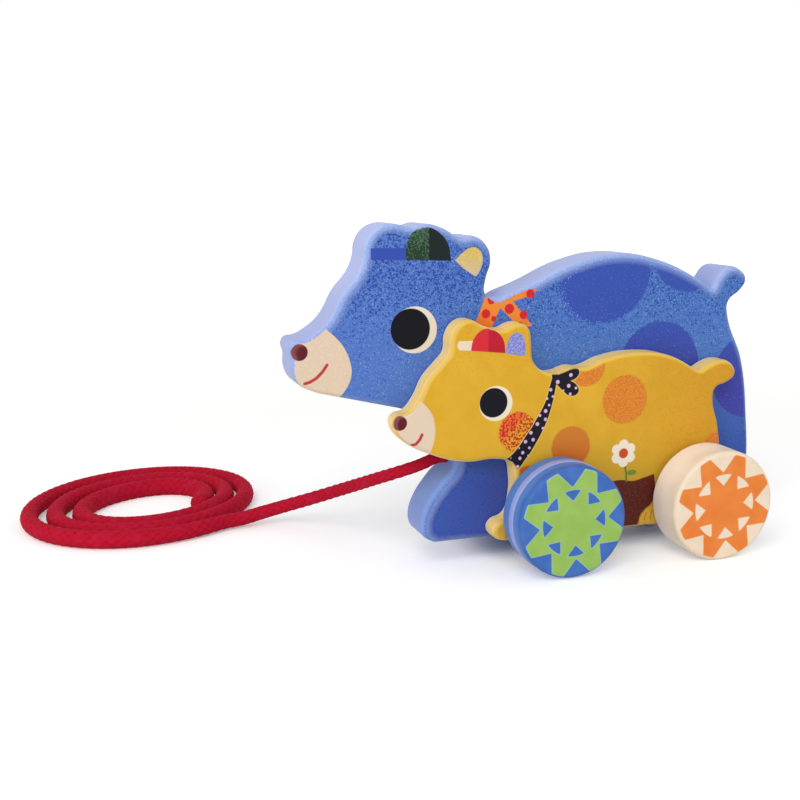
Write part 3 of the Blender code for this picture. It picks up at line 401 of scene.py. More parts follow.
def drawn_line(outline, steps=16):
    """Closed line through points (along, up) in mm: (1-s)^3 a + 3(1-s)^2 s b + 3(1-s) s^2 c + s^3 d.

    a and d are neighbours, and b and c their handles. A rounded point's handles lie along
    t = in/|in| + out/|out|, each |t| * ROUND_HANDLE times shorter than its side, and a side counts as
    no more than LONGER_SIDE times the other. A SHARP point's handles lie a third of the way to its
    neighbours.
    """
    spot = np.array([point[:2] for point in outline], float)
    sharp = np.array([SHARP in point[2:] for point in outline])[:, None]
    arrive, leave = spot - np.roll(spot, 1, 0), np.roll(spot, -1, 0) - spot
    arrive_long, leave_long = (np.linalg.norm(v, axis=1)[:, None] for v in (arrive, leave))
    lean = arrive / arrive_long + leave / leave_long
    scale = np.linalg.norm(lean, axis=1)[:, None] * ROUND_HANDLE
    before = spot - lean * np.minimum(arrive_long, LONGER_SIDE * leave_long) / scale
    after = spot + lean * np.minimum(leave_long, LONGER_SIDE * arrive_long) / scale
    before, after = np.where(sharp, spot - arrive / 3, before), np.where(sharp, spot + leave / 3, after)
    share = np.linspace(0.0, 1.0, steps, endpoint=False)[None, :, None]
    a, b, c, d = (part[:, None] for part in (spot, after, np.roll(before, -1, 0), np.roll(spot, -1, 0)))
    left = 1.0 - share
    curve = a * left ** 3 + 3 * b * left ** 2 * share + 3 * c * left * share ** 2 + d * share ** 3
    return curve.reshape(-1, 2)


def sawn_line(outline):
    """A board's outline at even distances with softened corners, and the way in from each point.

    The corners are softened by a blur along the line, s mm wide: a wave of frequency f is damped by
    exp(-2 (pi f s)^2).
    """
    line = drawn_line(outline)
    line = evenly(np.vstack([line, line[:1]]), EDGE_SPACING)[:-1]
    wave = np.fft.fftfreq(len(line), EDGE_SPACING)[:, None]
    damp = np.exp(-2 * (math.pi * wave * CORNER_SOFTENING) ** 2)
    line = np.fft.ifft(np.fft.fft(line, axis=0) * damp, axis=0).real
    ahead, behind = np.roll(line, -1, 0), np.roll(line, 1, 0)
    if (line[:, 0] * ahead[:, 1] - ahead[:, 0] * line[:, 1]).sum() < 0:
        line, ahead, behind = line[::-1], behind[::-1], ahead[::-1]
    run = ahead - behind
    return line, np.column_stack([-run[:, 1], run[:, 0]]) / np.linalg.norm(run, axis=1)[:, None]


def line_distance(places, line, closed=True):
    """Distance in the plane from each place to a broken line, less than nothing inside a closed one.

    It is the least of |p - a - t(b - a)| over the stretches a to b, with t = (p - a).(b - a) / |b - a|^2
    held from 0 to 1. A place is inside where a level ray crosses the line an odd number of times.
    """
    start, end = (line, np.roll(line, -1, 0)) if closed else (line[:-1], line[1:])
    step = end - start
    least, inside = [], []
    for part in np.array_split(places, len(places) * len(start) // PAIRS_AT_ONCE + 1):
        gap = part[:, None] - start[None]
        share = np.clip((gap * step).sum(-1) / np.maximum((step ** 2).sum(-1), 1e-12), 0.0, 1.0)
        least.append(np.linalg.norm(gap - share[..., None] * step, axis=-1).min(1))
        over = (start[:, 1] > part[:, 1:]) != (end[:, 1] > part[:, 1:])
        rise = np.where(step[:, 1] == 0.0, 1.0, step[:, 1])
        crossing = start[:, 0] + (part[:, 1:] - start[:, 1]) / rise * step[:, 0]
        inside.append((over & (part[:, :1] < crossing)).sum(1) % 2 == 1)
    least, inside = np.concatenate(least), np.concatenate(inside)
    return np.where(inside, -least, least) if closed else least


def disc(x, z, across, high=None):
    """Printed disc or oval: (|p / r| - 1) times the smaller radius, near enough beside its line."""
    half = np.array((across, high or across))
    return lambda places: (np.linalg.norm((places - (x, z)) / half, axis=1) - 1.0) * half.min()


def shape(*outline):
    """Printed shape inside a closed drawn line."""
    return lambda places: line_distance(places, drawn_line(outline, steps=8))


def cut(*corners):
    """Printed shape with straight sides."""
    return shape(*((*corner, SHARP) for corner in corners))


def stroke(width, *points):
    """Printed brush stroke of one width along a broken line."""
    return lambda places: line_distance(places, np.array(points, float), closed=False) - width / 2


def part_of(whole, x):
    """What lies to the right of x of a printed shape."""
    return lambda places: np.maximum(whole(places), x - places[:, 0])


def ring_of(x, z, radius, count=24):
    """Points round a bore's edge, in mm from the front axle: centre + radius (cos, sin)."""
    angle = 2 * math.pi * np.arange(count) / count
    return np.column_stack([x + radius * np.cos(angle), z + radius * np.sin(angle)])


def within(places, loops):
    """Which places lie between loops, that is inside an odd number of them."""
    return sum((line_distance(places, loop) < 0).astype(int) for loop in loops) % 2 == 1


def face_places(line, loops, from_ink):
    """Places on a flat face, clear of its loops: COARSE apart, but FINE apart beside a printed line."""
    low, high = line.min(0), line.max(0)
    every = round(COARSE / FINE)
    cells = np.stack(np.mgrid[0:int((high[0] - low[0]) / COARSE) + 1,
                              0:int((high[1] - low[1]) / COARSE) + 1], -1).reshape(-1, 2) * every
    close = from_ink(low + (cells + every / 2) * FINE) < HALF_CELL * COARSE + FINE_REACH
    steps = np.stack(np.mgrid[0:every, 0:every], -1).reshape(1, -1, 2)
    grid = (cells[close][:, None] + steps).reshape(-1, 2)
    places = low + (grid + 0.5) * FINE
    kept = (from_ink(places) < FINE_REACH) | ((grid % every) == 0).all(1)
    places = np.vstack([places[kept], low + (cells[~close] + 0.5) * FINE])
    clear = np.min([np.abs(line_distance(places, loop)) for loop in loops], axis=0) > FINE
    return places[clear & within(places, loops)]


def filled(loops, places):
    """Triangles that fill a plane between its loops, with corners on the loops and at the places."""
    edges = []
    for loop in loops:
        ring = len(edges) + np.arange(len(loop))
        edges += zip(ring.tolist(), np.roll(ring, -1).tolist())
    corners = np.vstack([*loops, places])
    placed, _, triangles = delaunay_2d_cdt([Vector(p) for p in corners], edges, [], 0, 1e-6)[:3]
    if len(placed) != len(corners):
        raise ValueError("a plane of a board gained or lost points")
    triangles = np.array(triangles)
    triangles = triangles[within(corners[triangles].mean(1), loops)]
    a, b, c = (corners[triangles[:, k]] for k in range(3))
    wrong = np.cross(b - a, c - a) < 0
    triangles[wrong] = triangles[wrong][:, ::-1]
    return triangles


def carry(piece, name, values):
    """Keep a number on each point of a piece, for its material to read."""
    piece.data.attributes.new(name, "FLOAT", "POINT").data.foreach_set("value", values.astype(np.float32))


def board(name, outline, near_y, far_y, bores, prints, lit_side, materials):
    """A rounded, drilled board with the distance from each printed shape on its points.

    "rim" is a point's distance in from the outline, less its depth down the edge, and "lit" is the
    same for a point moved towards the edges that face up and to the left, which get the painted
    highlight.

    The rim is a grid: the outline drawn in by r(1 - sin a), at r(1 - cos a) from each face, for a from
    0 to 90 degrees, then straight across. Each face and each bore's floor is a triangulated plane
    between its loops. bores are (loop in mm, y where it starts, y where it ends).
    """
    line, inwards = sawn_line(outline)
    radius = EDGE_ROUNDING / MM
    arc = np.linspace(0.0, math.pi / 2, ARC_ROWS + 1)
    drawn_in = np.concatenate([[radius + HOLD], radius * (1 - np.sin(arc))])
    deep = np.concatenate([[0.0], radius * (1 - np.cos(arc))])
    thick = round((far_y - near_y) / MM, 6)
    side = np.linspace(radius, thick - radius, SIDE_ROWS + 2)[1:-1]
    drawn_in = np.concatenate([drawn_in, 0 * side, drawn_in[::-1]])
    deep = np.concatenate([deep, side, thick - deep[::-1]])
    flat = line[None] + inwards[None] * drawn_in[:, None, None]
    rows, columns = flat.shape[:2]
    across_board = np.broadcast_to(deep[:, None], (rows, columns))
    points = [np.stack([flat[..., 0], across_board, flat[..., 1]], -1).reshape(-1, 3)]
    sunk = [np.repeat(np.clip(np.minimum(deep, thick - deep) - radius, 0.0, None), columns)]
    faces = round_faces(rows, columns)[:, [0, 3, 2, 1]].tolist()
    painted = len(faces)
    planes = {0.0: [(np.arange(columns), flat[0], "starts")],
              thick: [((rows - 1) * columns + np.arange(columns), flat[-1], "ends")]}
    count = rows * columns
    for loop, start_y, end_y in bores:
        size = len(loop)
        ids = []
        for y, kind in ((start_y, "starts"), (end_y, "ends")):
            y = round((y - near_y) / MM, 6)
            ids.append(count + np.arange(size))
            planes.setdefault(y, []).append((ids[-1], loop, kind))
            points.append(np.column_stack([loop[:, 0], np.full(size, y), loop[:, 1]]))
            sunk.append(np.full(size, -IN_BORE))
            count += size
        wall = [ids[0], np.roll(ids[0], -1), np.roll(ids[1], -1), ids[1]]
        faces += np.column_stack(wall).tolist()

    def from_ink(places):
        return np.min([np.abs(ink(places)) for inks in prints.values() for ink in inks], axis=0)

    floors, fronts = [], []
    for y, marked in planes.items():
        on_face = y in (0.0, thick)
        loops = [loop for _, loop, _ in marked]
        places = face_places(line, loops, from_ink) if on_face else np.empty((0, 2))
        numbers = np.concatenate([ids for ids, _, _ in marked] + [count + np.arange(len(places))])
        points.append(np.column_stack([places[:, 0], np.full(len(places), y), places[:, 1]]))
        sunk.append(np.zeros(len(places)))
        count += len(places)
        triangles = numbers[filled(loops, places)]
        if y == thick or (not on_face and all(kind == "starts" for _, _, kind in marked)):
            triangles = triangles[:, ::-1]    # it looks to the far side
        (fronts if on_face else floors).extend(triangles.tolist())
    bare = len(faces) + len(floors)
    faces += floors + fronts
    points = np.vstack(points)
    in_place = points * MM + (FRONT_AXLE_X, near_y, AXLE_Z)
    piece = new_piece(name, in_place, faces, materials, "boards")
    kinds = np.zeros(len(faces), int)
    kinds[painted:bare] = 1    # bare wood
    piece.data.polygons.foreach_set("material_index", kinds)
    flat_places, sunk = points[:, [0, 2]], np.concatenate(sunk)
    for ink_name, inks in prints.items():
        carry(piece, ink_name, np.min([ink(flat_places) for ink in inks], axis=0))
    carry(piece, "rim", -line_distance(flat_places, line) - sunk)
    carry(piece, "lit", -line_distance(flat_places + lit_side, line) - sunk)
    return piece


# The chime's pocket in mm from the front axle: an arc round the drum, then the room for the bars.
POCKET_RADIUS, POCKET_START, POCKET_END = 10.0, 60.32, 346.7    # the arc's, in mm and degrees
arc = np.radians(np.linspace(POCKET_START, POCKET_END, 25))
pocket = np.vstack([
    np.column_stack([POCKET_RADIUS * np.cos(arc), POCKET_RADIUS * np.sin(arc)]),
    [(12.1, -2.3), (12.1, 2.9333), (49.5, 2.9333), (49.5, 21.36), (4.951, 21.36)]])
DOWEL_PLACES = ((-30.0, 52.0), (20.0, 52.0), (58.0, 46.0), (56.0, 2.0))
REAR = WHEEL_BASE / MM
mother_bores = [
    (pocket, MOTHER_NEAR_Y, POCKET_FLOOR_Y),
    (ring_of(0.0, 0.0, BUSH_BORE / MM), POCKET_FLOOR_Y, MOTHER_FAR_Y),
    (ring_of(REAR, 0.0, BUSH_BORE / MM), MOTHER_NEAR_Y, MOTHER_FAR_Y),
    (ring_of(*np.array(KNOT_PLACE) / MM, KNOT_BORE / MM), MOTHER_NEAR_Y, KNOT_BORE_Y)]
cub_bores = [(ring_of(x, 0.0, BUSH_BORE / MM), CUB_NEAR_Y, CUB_FAR_Y) for x in (0.0, REAR)]
for x, z in DOWEL_PLACES:
    loop = ring_of(x, z, DOWEL_BORE / MM, count=16)
    mother_bores.append((loop, MOTHER_NEAR_Y, MOTHER_NEAR_Y + DOWEL_IN_MOTHER))
    cub_bores.append((loop, CUB_FAR_Y - DOWEL_IN_CUB, CUB_FAR_Y))

# Printed shapes in mm from the front axle, along the toy and up.
FLOWER = (34.5, 22.6)
PETAL_OUT, PETAL_RADIUS = 3.9, 2.45
petal_turns = 2 * math.pi * (np.arange(6) + 0.5) / 6
mother_cap = shape(
    (-64.1, 110.6, SHARP), (-63.9, 116.0), (-62.5, 120.3), (-59.3, 123.1), (-55.0, 124.0),
    (-48.6, 120.9), (-45.3, 116.1), (-44.2, 109.9, SHARP))
cub_cap = shape(
    (-39.1, 72.8, SHARP), (-38.2, 77.0), (-35.5, 80.6), (-31.9, 81.9), (-28.3, 80.9), (-24.6, 77.1),
    (-23.4, 71.1, SHARP))
mother_prints = {
    "back_spots": [shape(
        (7.0, 98.5), (11.0, 102.5), (19.0, 105.8), (29.0, 108.8), (41.0, 110.6), (49.6, 106.5),
        (50.4, 98.5), (47.3, 91.3), (40.6, 84.6), (28.7, 80.4), (17.0, 81.8), (9.5, 88.5)),
        disc(70.5, 107.5, 17.2, 15.0), disc(57.0, 59.3, 20.5), disc(105.5, 52.0, 19.8)],
    "ear_shade": [shape(
        (-78.2, 114.5, SHARP), (-77.5, 117.2), (-75.3, 120.5), (-70.6, 122.3), (-66.2, 121.8),
        (-63.0, 120.0, SHARP), (-62.0, 114.5, SHARP))],
    "hat_band": [cut((-79.2, 111.1), (-79.2, 115.9), (-62.0, 115.6), (-62.0, 110.5))],
    "cap": [mother_cap],
    "cap_dark": [part_of(mother_cap, -53.9)],
    "inner_ear": [shape(
        (-42.3, 110.0, SHARP), (-38.5, 113.4), (-34.8, 115.1), (-31.4, 114.0), (-29.9, 110.5),
        (-30.6, 106.5), (-32.8, 102.8, SHARP), (-35.5, 104.4), (-39.3, 107.1))],
    "muzzle": [shape(
        (-98.5, 83.4, SHARP), (-94.2, 79.4), (-91.0, 75.2), (-88.7, 69.5), (-88.1, 64.5),
        (-89.7, 59.5), (-93.7, 54.2, SHARP), (-98.0, 46.0, SHARP), (-125.0, 46.0, SHARP),
        (-125.0, 88.0, SHARP), (-103.0, 90.0, SHARP))],
    "eye_white": [disc(-60.4, 81.4, 9.9)],
    "eye": [disc(-62.3, 81.8, 8.7)],
    "nose": [disc(-110.0, 74.5, 3.5)],
    "mouth": [
        stroke(1.3, (-108.2, 61.4), (-106.0, 61.9), (-103.0, 63.5), (-100.5, 65.9), (-98.5, 68.7))],
    "scarf": [cut((-28.6, 94.0), (-22.3, 93.4), (-21.5, 89.5), (-25.6, 80.5), (-34.0, 80.5)),
              cut((-22.0, 92.6), (-15.5, 91.4), (-6.3, 80.6), (-12.2, 80.0), (-21.5, 89.0)),
              shape((-24.0, 93.3, SHARP), (-19.0, 95.3), (-10.0, 96.6), (-4.0, 96.6, SHARP),
                    (-7.0, 94.3), (-14.0, 92.2), (-20.0, 90.8, SHARP))],
    "scarf_dots": [
        disc(-28.2, 86.8, 2.0), disc(-25.8, 92.4, 1.7), disc(-17.3, 88.5, 2.2),
        disc(-10.6, 85.6, 1.9), disc(-7.6, 94.6, 1.9), disc(-18.6, 94.6, 1.1),
        disc(-12.4, 81.2, 1.5), disc(-24.5, 84.5, 1.2)],
}
cub_prints = {
    "spots": [
        disc(34.3, 47.2, 11.0), disc(8.3, 27.7, 9.3), disc(15.0, 63.5, 9.2), disc(82.5, 22.5, 6.6),
        disc(-12.0, 13.0, 8.0)],
    "cheek": [disc(-17.2, 36.4, 8.8)],
    "hill": [shape(
        (26.0, -14.0, SHARP), (44.2, -14.0, SHARP), (44.8, -8.5), (47.5, -4.5), (50.4, -0.5),
        (51.2, 5.0), (50.5, 11.7, SHARP), (45.0, 10.4), (40.0, 9.4), (33.0, 10.4),
        (26.0, 9.6, SHARP))],
    "paws": [disc(50.6, -12.6, 7.4, 9.4), disc(-22.3, -11.1, 5.4, 7.2)],
    "toes": [stroke(0.6, (46.6, -12.0), (46.4, -8.6), (47.2, -6.2)),
             stroke(0.6, (49.6, -12.0), (49.4, -8.0), (50.0, -5.4)),
             stroke(0.6, (-21.9, -12.2), (-22.1, -9.9), (-21.5, -8.0)),
             stroke(0.6, (-19.1, -12.2), (-19.3, -9.3), (-18.7, -7.2))],
    "hat_band": [shape(
        (-44.4, 73.4, SHARP), (-45.2, 75.4), (-44.5, 77.2, SHARP), (-38.1, 77.0, SHARP),
        (-38.8, 72.9, SHARP))],
    "cap": [cub_cap],
    "cap_dark": [part_of(cub_cap, -31.2)],
    "inner_ear": [shape(
        (-23.3, 70.8, SHARP), (-22.6, 75.0), (-20.8, 78.3), (-18.2, 79.6), (-15.6, 78.2),
        (-14.3, 74.6), (-14.3, 69.3, SHARP))],
    "muzzle": [shape(
        (-65.0, 56.0, SHARP), (-61.8, 53.5), (-59.1, 50.7), (-56.4, 47.0), (-55.2, 42.8),
        (-55.0, 38.5), (-56.0, 33.5), (-57.6, 29.5, SHARP), (-60.0, 20.0, SHARP),
        (-85.0, 20.0, SHARP), (-85.0, 62.0, SHARP))],
    "eye_white": [disc(-27.5, 49.6, 7.6)],
    "eye": [disc(-28.6, 50.0, 6.4)],
    "nose": [disc(-70.5, 44.1, 3.1)],
    "mouth": [stroke(1.3, (-65.6, 34.2), (-63.6, 34.7), (-61.9, 36.4), (-60.8, 38.6))],
    "scarf": [shape(
        (-1.3, 59.6, SHARP), (-2.8, 54.3), (-3.7, 50.6), (-5.7, 46.1), (-8.0, 42.3), (-10.5, 38.1),
        (-13.1, 34.7), (-16.1, 30.5), (-19.1, 27.2), (-22.4, 24.5, SHARP), (-20.2, 22.4, SHARP),
        (-18.5, 18.9, SHARP), (-15.9, 20.7), (-13.6, 23.7), (-11.5, 26.2), (-9.0, 30.0),
        (-6.9, 33.4), (-5.1, 36.8), (-3.5, 40.2), (-2.1, 44.1), (-1.0, 48.0), (-0.1, 51.9),
        (0.7, 57.0, SHARP)), shape(
        (-1.2, 60.8), (1.3, 61.8), (4.6, 62.9), (8.9, 63.6), (11.1, 62.4), (11.6, 60.6), (10.7, 58.9),
        (9.0, 57.7), (7.1, 57.3, SHARP), (9.1, 56.4), (10.8, 54.7), (11.5, 52.9), (10.7, 51.2),
        (8.8, 50.5), (6.3, 51.0), (4.4, 52.5), (2.9, 53.9), (0.9, 56.0), (-1.0, 57.7))],
    "scarf_dots": [disc(*dot) for dot in (
        (1.8, 60.8, 0.67), (5.8, 62.3, 0.67), (7.5, 59.8, 0.85), (1.3, 57.1, 0.89),
        (6.6, 55.1, 0.85), (10.1, 53.9, 0.62), (7.4, 51.4, 0.67), (4.1, 53.2, 0.45),
        (-2.0, 53.9, 0.76), (-0.9, 50.9, 0.58), (-3.6, 50.1, 0.58), (-2.6, 47.2, 0.58),
        (-4.2, 44.7, 0.85), (-6.9, 42.9, 0.67), (-4.2, 41.0, 0.76), (-8.0, 39.2, 0.85),
        (-5.4, 37.2, 0.58), (-11.0, 35.6, 0.8), (-9.9, 32.4, 0.8), (-13.5, 31.8, 0.8),
        (-11.6, 28.9, 0.62), (-14.7, 27.0, 0.76), (-12.2, 25.5, 0.4), (-16.0, 24.6, 0.76),
        (-16.4, 29.2, 0.4), (-20.0, 25.0, 0.54), (-19.6, 22.9, 0.62), (-17.0, 20.9, 0.8))],
    "flower_stem": [stroke(0.9, (36.4, 9.6), (36.2, 13.0), (35.4, 17.0), (34.6, 20.0))],
    "flower_leaf": [disc(38.9, 13.4, 2.5, 1.3)],
    "flower_petals": [
        disc(FLOWER[0] + PETAL_OUT * math.cos(turn), FLOWER[1] + PETAL_OUT * math.sin(turn), PETAL_RADIUS)
        for turn in petal_turns],
    "flower_middle": [disc(*FLOWER, 2.3)],
}


def printed(tree, below, name, ink, ragged=None, soft=PRINT_EDGE, share=1.0):
    """Ink over what is below, inside a printed shape. ragged, in mm, pushes its line in and out."""
    gap = add(tree, "Attribute", attribute_name=name).outputs["Fac"]
    if ragged is not None:
        gap = add(tree, "Math", gap, ragged, operation="ADD")
    cover = add(tree, "MapRange", gap, soft, -soft)
    cover = add(tree, "Math", cover, share, operation="MULTIPLY")
    return add(tree, "Mix", cover, below, ink, data_type="RGBA")


def grains(tree, place, size, seed=0.0):
    """Even noise with grains of about one size in mm."""
    moved = add(tree, "Mapping", Vector=place, Location=(seed, seed, seed))
    return add(tree, "TexNoise", Vector=moved, Scale=1.0 / (size * MM), Detail=1.5, Roughness=0.6)


def spattered(tree, below, above, grain, level, level_to=None, drive=None, low=0.0, high=1.0):
    """Paint thrown on in the grains over a level, which runs to level_to as drive runs low to high."""
    if drive is not None:
        level = add(tree, "MapRange", drive, low, high, level, level_to)
    over = add(tree, "Math", grain, level, operation="SUBTRACT")
    return shade(tree, below, above, over, -GRAIN_EDGE, GRAIN_EDGE)


def coats(tree, colour, *layers):
    """Coats laid one over another: each is a function, and what it takes after the colour below."""
    for lay_on, *how in layers:
        colour = lay_on(tree, colour, *how)
    return colour


def lacquered(name):
    """Sprayed and polished lacquer over primed wood: a soft gloss with a faint ripple, 4 mm long."""
    material, tree, shader, place = finish_of(name, Roughness=0.36, Specular_IOR_Level=0.08)
    ripple = add(tree, "TexNoise", Vector=place, Scale=0.26 / MM, Detail=2.0)
    bump = add(tree, "Bump", Height=ripple, Strength=0.12, Distance=0.4 * MM)
    return material, tree, join(tree, shader, Normal=bump), place


def board_lacquer(name):
    """A board's lacquer, with its distances "rim" and "lit" in mm and its place along, through and up."""
    material, tree, shader, place = lacquered(name)
    rim, edge = (add(tree, "Attribute", attribute_name=kept).outputs["Fac"] for kept in ("rim", "lit"))
    return (material, tree, shader, place, rim, edge, *add(tree, "SeparateXYZ", place).outputs)


# Bare beech in the bores: pale brown with short dark flecks along the grain.
beech, tree, shader, place = finish_of("planed beech", Roughness=0.6, Specular_IOR_Level=0.35)
grown = add(tree, "Mapping", Vector=place, Scale=(0.12, 1.0, 1.0))
grain = add(tree, "TexNoise", Vector=grown, Scale=0.9 / MM, Detail=4.0)
fleck = add(tree, "TexNoise", Vector=grown, Scale=2.6 / MM, Detail=1.0)
wood = add(tree, "Mix", grain, "C79E6E", "DDBD90", data_type="RGBA")
wood = shade(tree, wood, "9A6B42", fleck, 0.62, 0.7)
bump = add(tree, "Bump", Height=grain, Strength=0.3, Distance=0.3 * MM)
join(tree, shader, Base_Color=wood, Normal=bump)

# Mother's lacquer: mid blue with darker and paler spatter, and pale violet-blue sides. On the edges
# facing up and to the left a pale wash, pale spatter and the side colour are painted highlight. Lower
# down, and most on the leg under the cub, the blue turns darker and more violet: partly the print's
# indigo, partly painted shade.
blue, tree, shader, place, rim, edge, along_toy, _, high = board_lacquer("printed blue lacquer on beech")
fine, finer = grains(tree, place, 0.75), grains(tree, place, 0.55, 3.7)
cloud, broad = grains(tree, place, 14.0, 1.3), grains(tree, place, 45.0, 5.1)
# On the leg under the cub's head the painted highlight band on its edges is wider and darker, and its
# colours darker: partly painted shade.
low_down = add(tree, "MapRange", high, 0.068, 0.045)
in_front = add(tree, "MapRange", along_toy, -0.02, -0.035)
on_leg = add(tree, "Math", low_down, in_front, operation="MULTIPLY")
edge = add(tree, "Math", edge, on_leg, operation="SUBTRACT")
brushed = add(tree, "Mapping", Vector=place, Scale=(0.1, 1.0, 1.0))
strokes = add(tree, "TexNoise", Vector=brushed, Scale=0.8 / MM, Detail=3.0)
# Darker and more violet lower down: partly the print's indigo, partly painted shade.
indigo_and_shade = shade(tree, "3F5AAC", "424699", along_toy, -0.05, 0.03)
indigo_and_shade = shade(tree, indigo_and_shade, "3C56AC", along_toy, 0.085, 0.1)
specks = shade(tree, "2C4A9E", "363E90", high, 0.08, 0.05)
thrown = add(tree, "MapRange", finer, 0.3, 0.7, -1.0, 1.0)
loose = add(tree, "MapRange", along_toy, 0.015, 0.045, 2.8, 0.35)
thrown = add(tree, "Math", thrown, loose, operation="MULTIPLY")
spot = shade(tree, "3A52AA", "4446A4", high, 0.105, 0.07)
spot = spattered(tree, spot, "5068BC", grains(tree, place, 0.8, 6.1), 0.64)
# Pale spatter for the edges facing up and to the left: painted highlight, darker on the leg.
lit_side = add(tree, "Mix", on_leg, "8FA9E2", "6C8AD2", data_type="RGBA")
ear_grain = spattered(tree, "5A7CC6", "34509E", fine, 0.52)
green = spattered(tree, "263B2C", "4B6952", finer, 0.6, 0.46, high, 0.138, 0.148)
straw = spattered(tree, "D2B45C", "E0C878", finer, 0.58)
straw = shade(tree, straw, "C6B8A6", high, 0.138, 0.129, 0.0, 0.7)
cream = spattered(tree, "DCC5AC", "E2CDB6", fine, 0.6)
rust = shade(tree, "E0742A", "E88A38", cloud, 0.4, 0.6)
sides = shade(tree, "A3AFDE", "B0BBE8", broad, 0.35, 0.65)
# Sides and rounding are darker low down and on the leg: partly their paint, partly painted shade.
leg_side = shade(tree, "7B96D0", "8B9ADA", high, 0.03, 0.014)
sides = shade(tree, sides, leg_side, high, 0.068, 0.05)
rounding = spattered(tree, "8CA4DC", "AABBE8", finer, 0.55)
leg_rounding = spattered(tree, "6484CC", "86A0DC", finer, 0.55)
rounding = add(tree, "Mix", on_leg, rounding, leg_rounding, data_type="RGBA")
sides = shade(tree, rounding, sides, edge, -0.5, -1.5)
# The side colour reaches in raggedly over the face on the edges facing up and to the left: painted
# highlight.
ragged_lit_edge = add(tree, "MapRange", finer, 0.3, 0.7, -0.4, 0.4)
ragged_lit_edge = add(tree, "Math", edge, ragged_lit_edge, operation="ADD")
# The nose is paler towards its edge facing up and to the left: painted highlight.
nose = shade(tree, "5C2028", "84444A", edge, 1.9, 0.6)
on_face = add(tree, "MapRange", rim, 0.0, 0.5)
# The A9BEEA wash, the pale spatter and the side colour on the edges facing up and to the left are painted
# highlight.
join(tree, shader, Base_Color=coats(
    tree, "5173BE", (shade, "4A72BA", along_toy, -0.06, 0.0),
    (shade, "5D83CA", strokes, 0.45, 0.75, 0.0, 0.35), (shade, indigo_and_shade, high, 0.08, 0.035),
    (spattered, specks, fine, 0.67, 0.51, high, 0.09, 0.128),
    (spattered, specks, finer, 0.5, 0.72, edge, 1.0, 7.0),
    (spattered, "7496D6", finer, 0.63, 0.78, high, 0.08, 0.05),
    (printed, "back_spots", spot, thrown, 0.25), (shade, "A9BEEA", edge, 3.5, -0.2, 0.0, 0.6),
    (spattered, lit_side, fine, 0.4, 0.95, edge, 0.2, 1.8), (printed, "ear_shade", ear_grain, 0.3, 0.5),
    (printed, "hat_band", "3850AA"), (printed, "cap", green), (printed, "cap_dark", "1E2826"),
    (printed, "inner_ear", straw), (printed, "muzzle", cream), (printed, "eye_white", "E2D6C4"),
    (printed, "eye", "14131B"), (printed, "mouth", "BE3A38"), (printed, "scarf", rust),
    (printed, "scarf_dots", "CC2C32"), (shade, sides, ragged_lit_edge, 0.15, -0.25),
    (printed, "nose", nose, None, PRINT_EDGE, on_face)))
mother = board("mother_bear_printed", MOTHER_OUTLINE, MOTHER_NEAR_Y, MOTHER_FAR_Y, mother_bores,
               mother_prints, MOTHER_LIT_SIDE, [blue, beech])
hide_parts("mother_board")

# Cub's lacquer: warm yellow, browner towards the tail and the belly, with mottled orange spots. The
# edges that face up and to the left get a pale painted highlight, every edge a thin painted highlight
# line, and the far edge a near-white one.
(yellow, tree, shader, place, rim, edge, along_toy, to_far_side,
 high) = board_lacquer("printed yellow lacquer on beech")
fine, finer = grains(tree, place, 0.8), grains(tree, place, 0.55, 3.7)
cloud, flecks = grains(tree, place, 10.0, 1.3), grains(tree, place, 1.0, 2.2)
ragged = add(tree, "MapRange", finer, 0.3, 0.7, -0.3, 0.3)
mottled = shade(tree, "CE7428", "DF8E3A", finer, 0.42, 0.58)
redder = shade(tree, "D07C30", "CC6A26", high, 0.056, 0.046)
redder = shade(tree, mottled, redder, along_toy, 0.026, 0.023)
mottled = shade(tree, mottled, redder, high, 0.072, 0.068)
cheek = spattered(tree, "E8983A", "AE4016", flecks, 0.52)
hot = spattered(tree, "EA6A38", "C02E20", flecks, 0.5)
slanted = add(tree, "Math", high, along_toy, operation="SUBTRACT")
cheek = shade(tree, cheek, hot, slanted, 0.076, 0.081)
earth = spattered(tree, "5A261F", "70382C", fine, 0.6)
lilac = spattered(tree, "7C80C8", "A4A6DC", finer, 0.55)
# The sides are paler further down, painted lighter against the shade beside the mother's board.
sides = shade(tree, "DCB862", "FAD88C", edge, -0.2, -1.8)
# A near-white line along the far edge: painted highlight.
far_edge_highlight = add(tree, "MapRange", to_far_side, -0.0078, -0.0070)
near_rim = add(tree, "MapRange", rim, 1.6, 1.2)
far_edge_highlight = add(tree, "Math", far_edge_highlight, near_rim, operation="MULTIPLY")
# The nose is paler towards its edge facing up and to the left: painted highlight.
nose = shade(tree, "5C2028", "84464A", edge, 1.1, 0.3)
on_face = add(tree, "MapRange", rim, 0.0, 0.5)
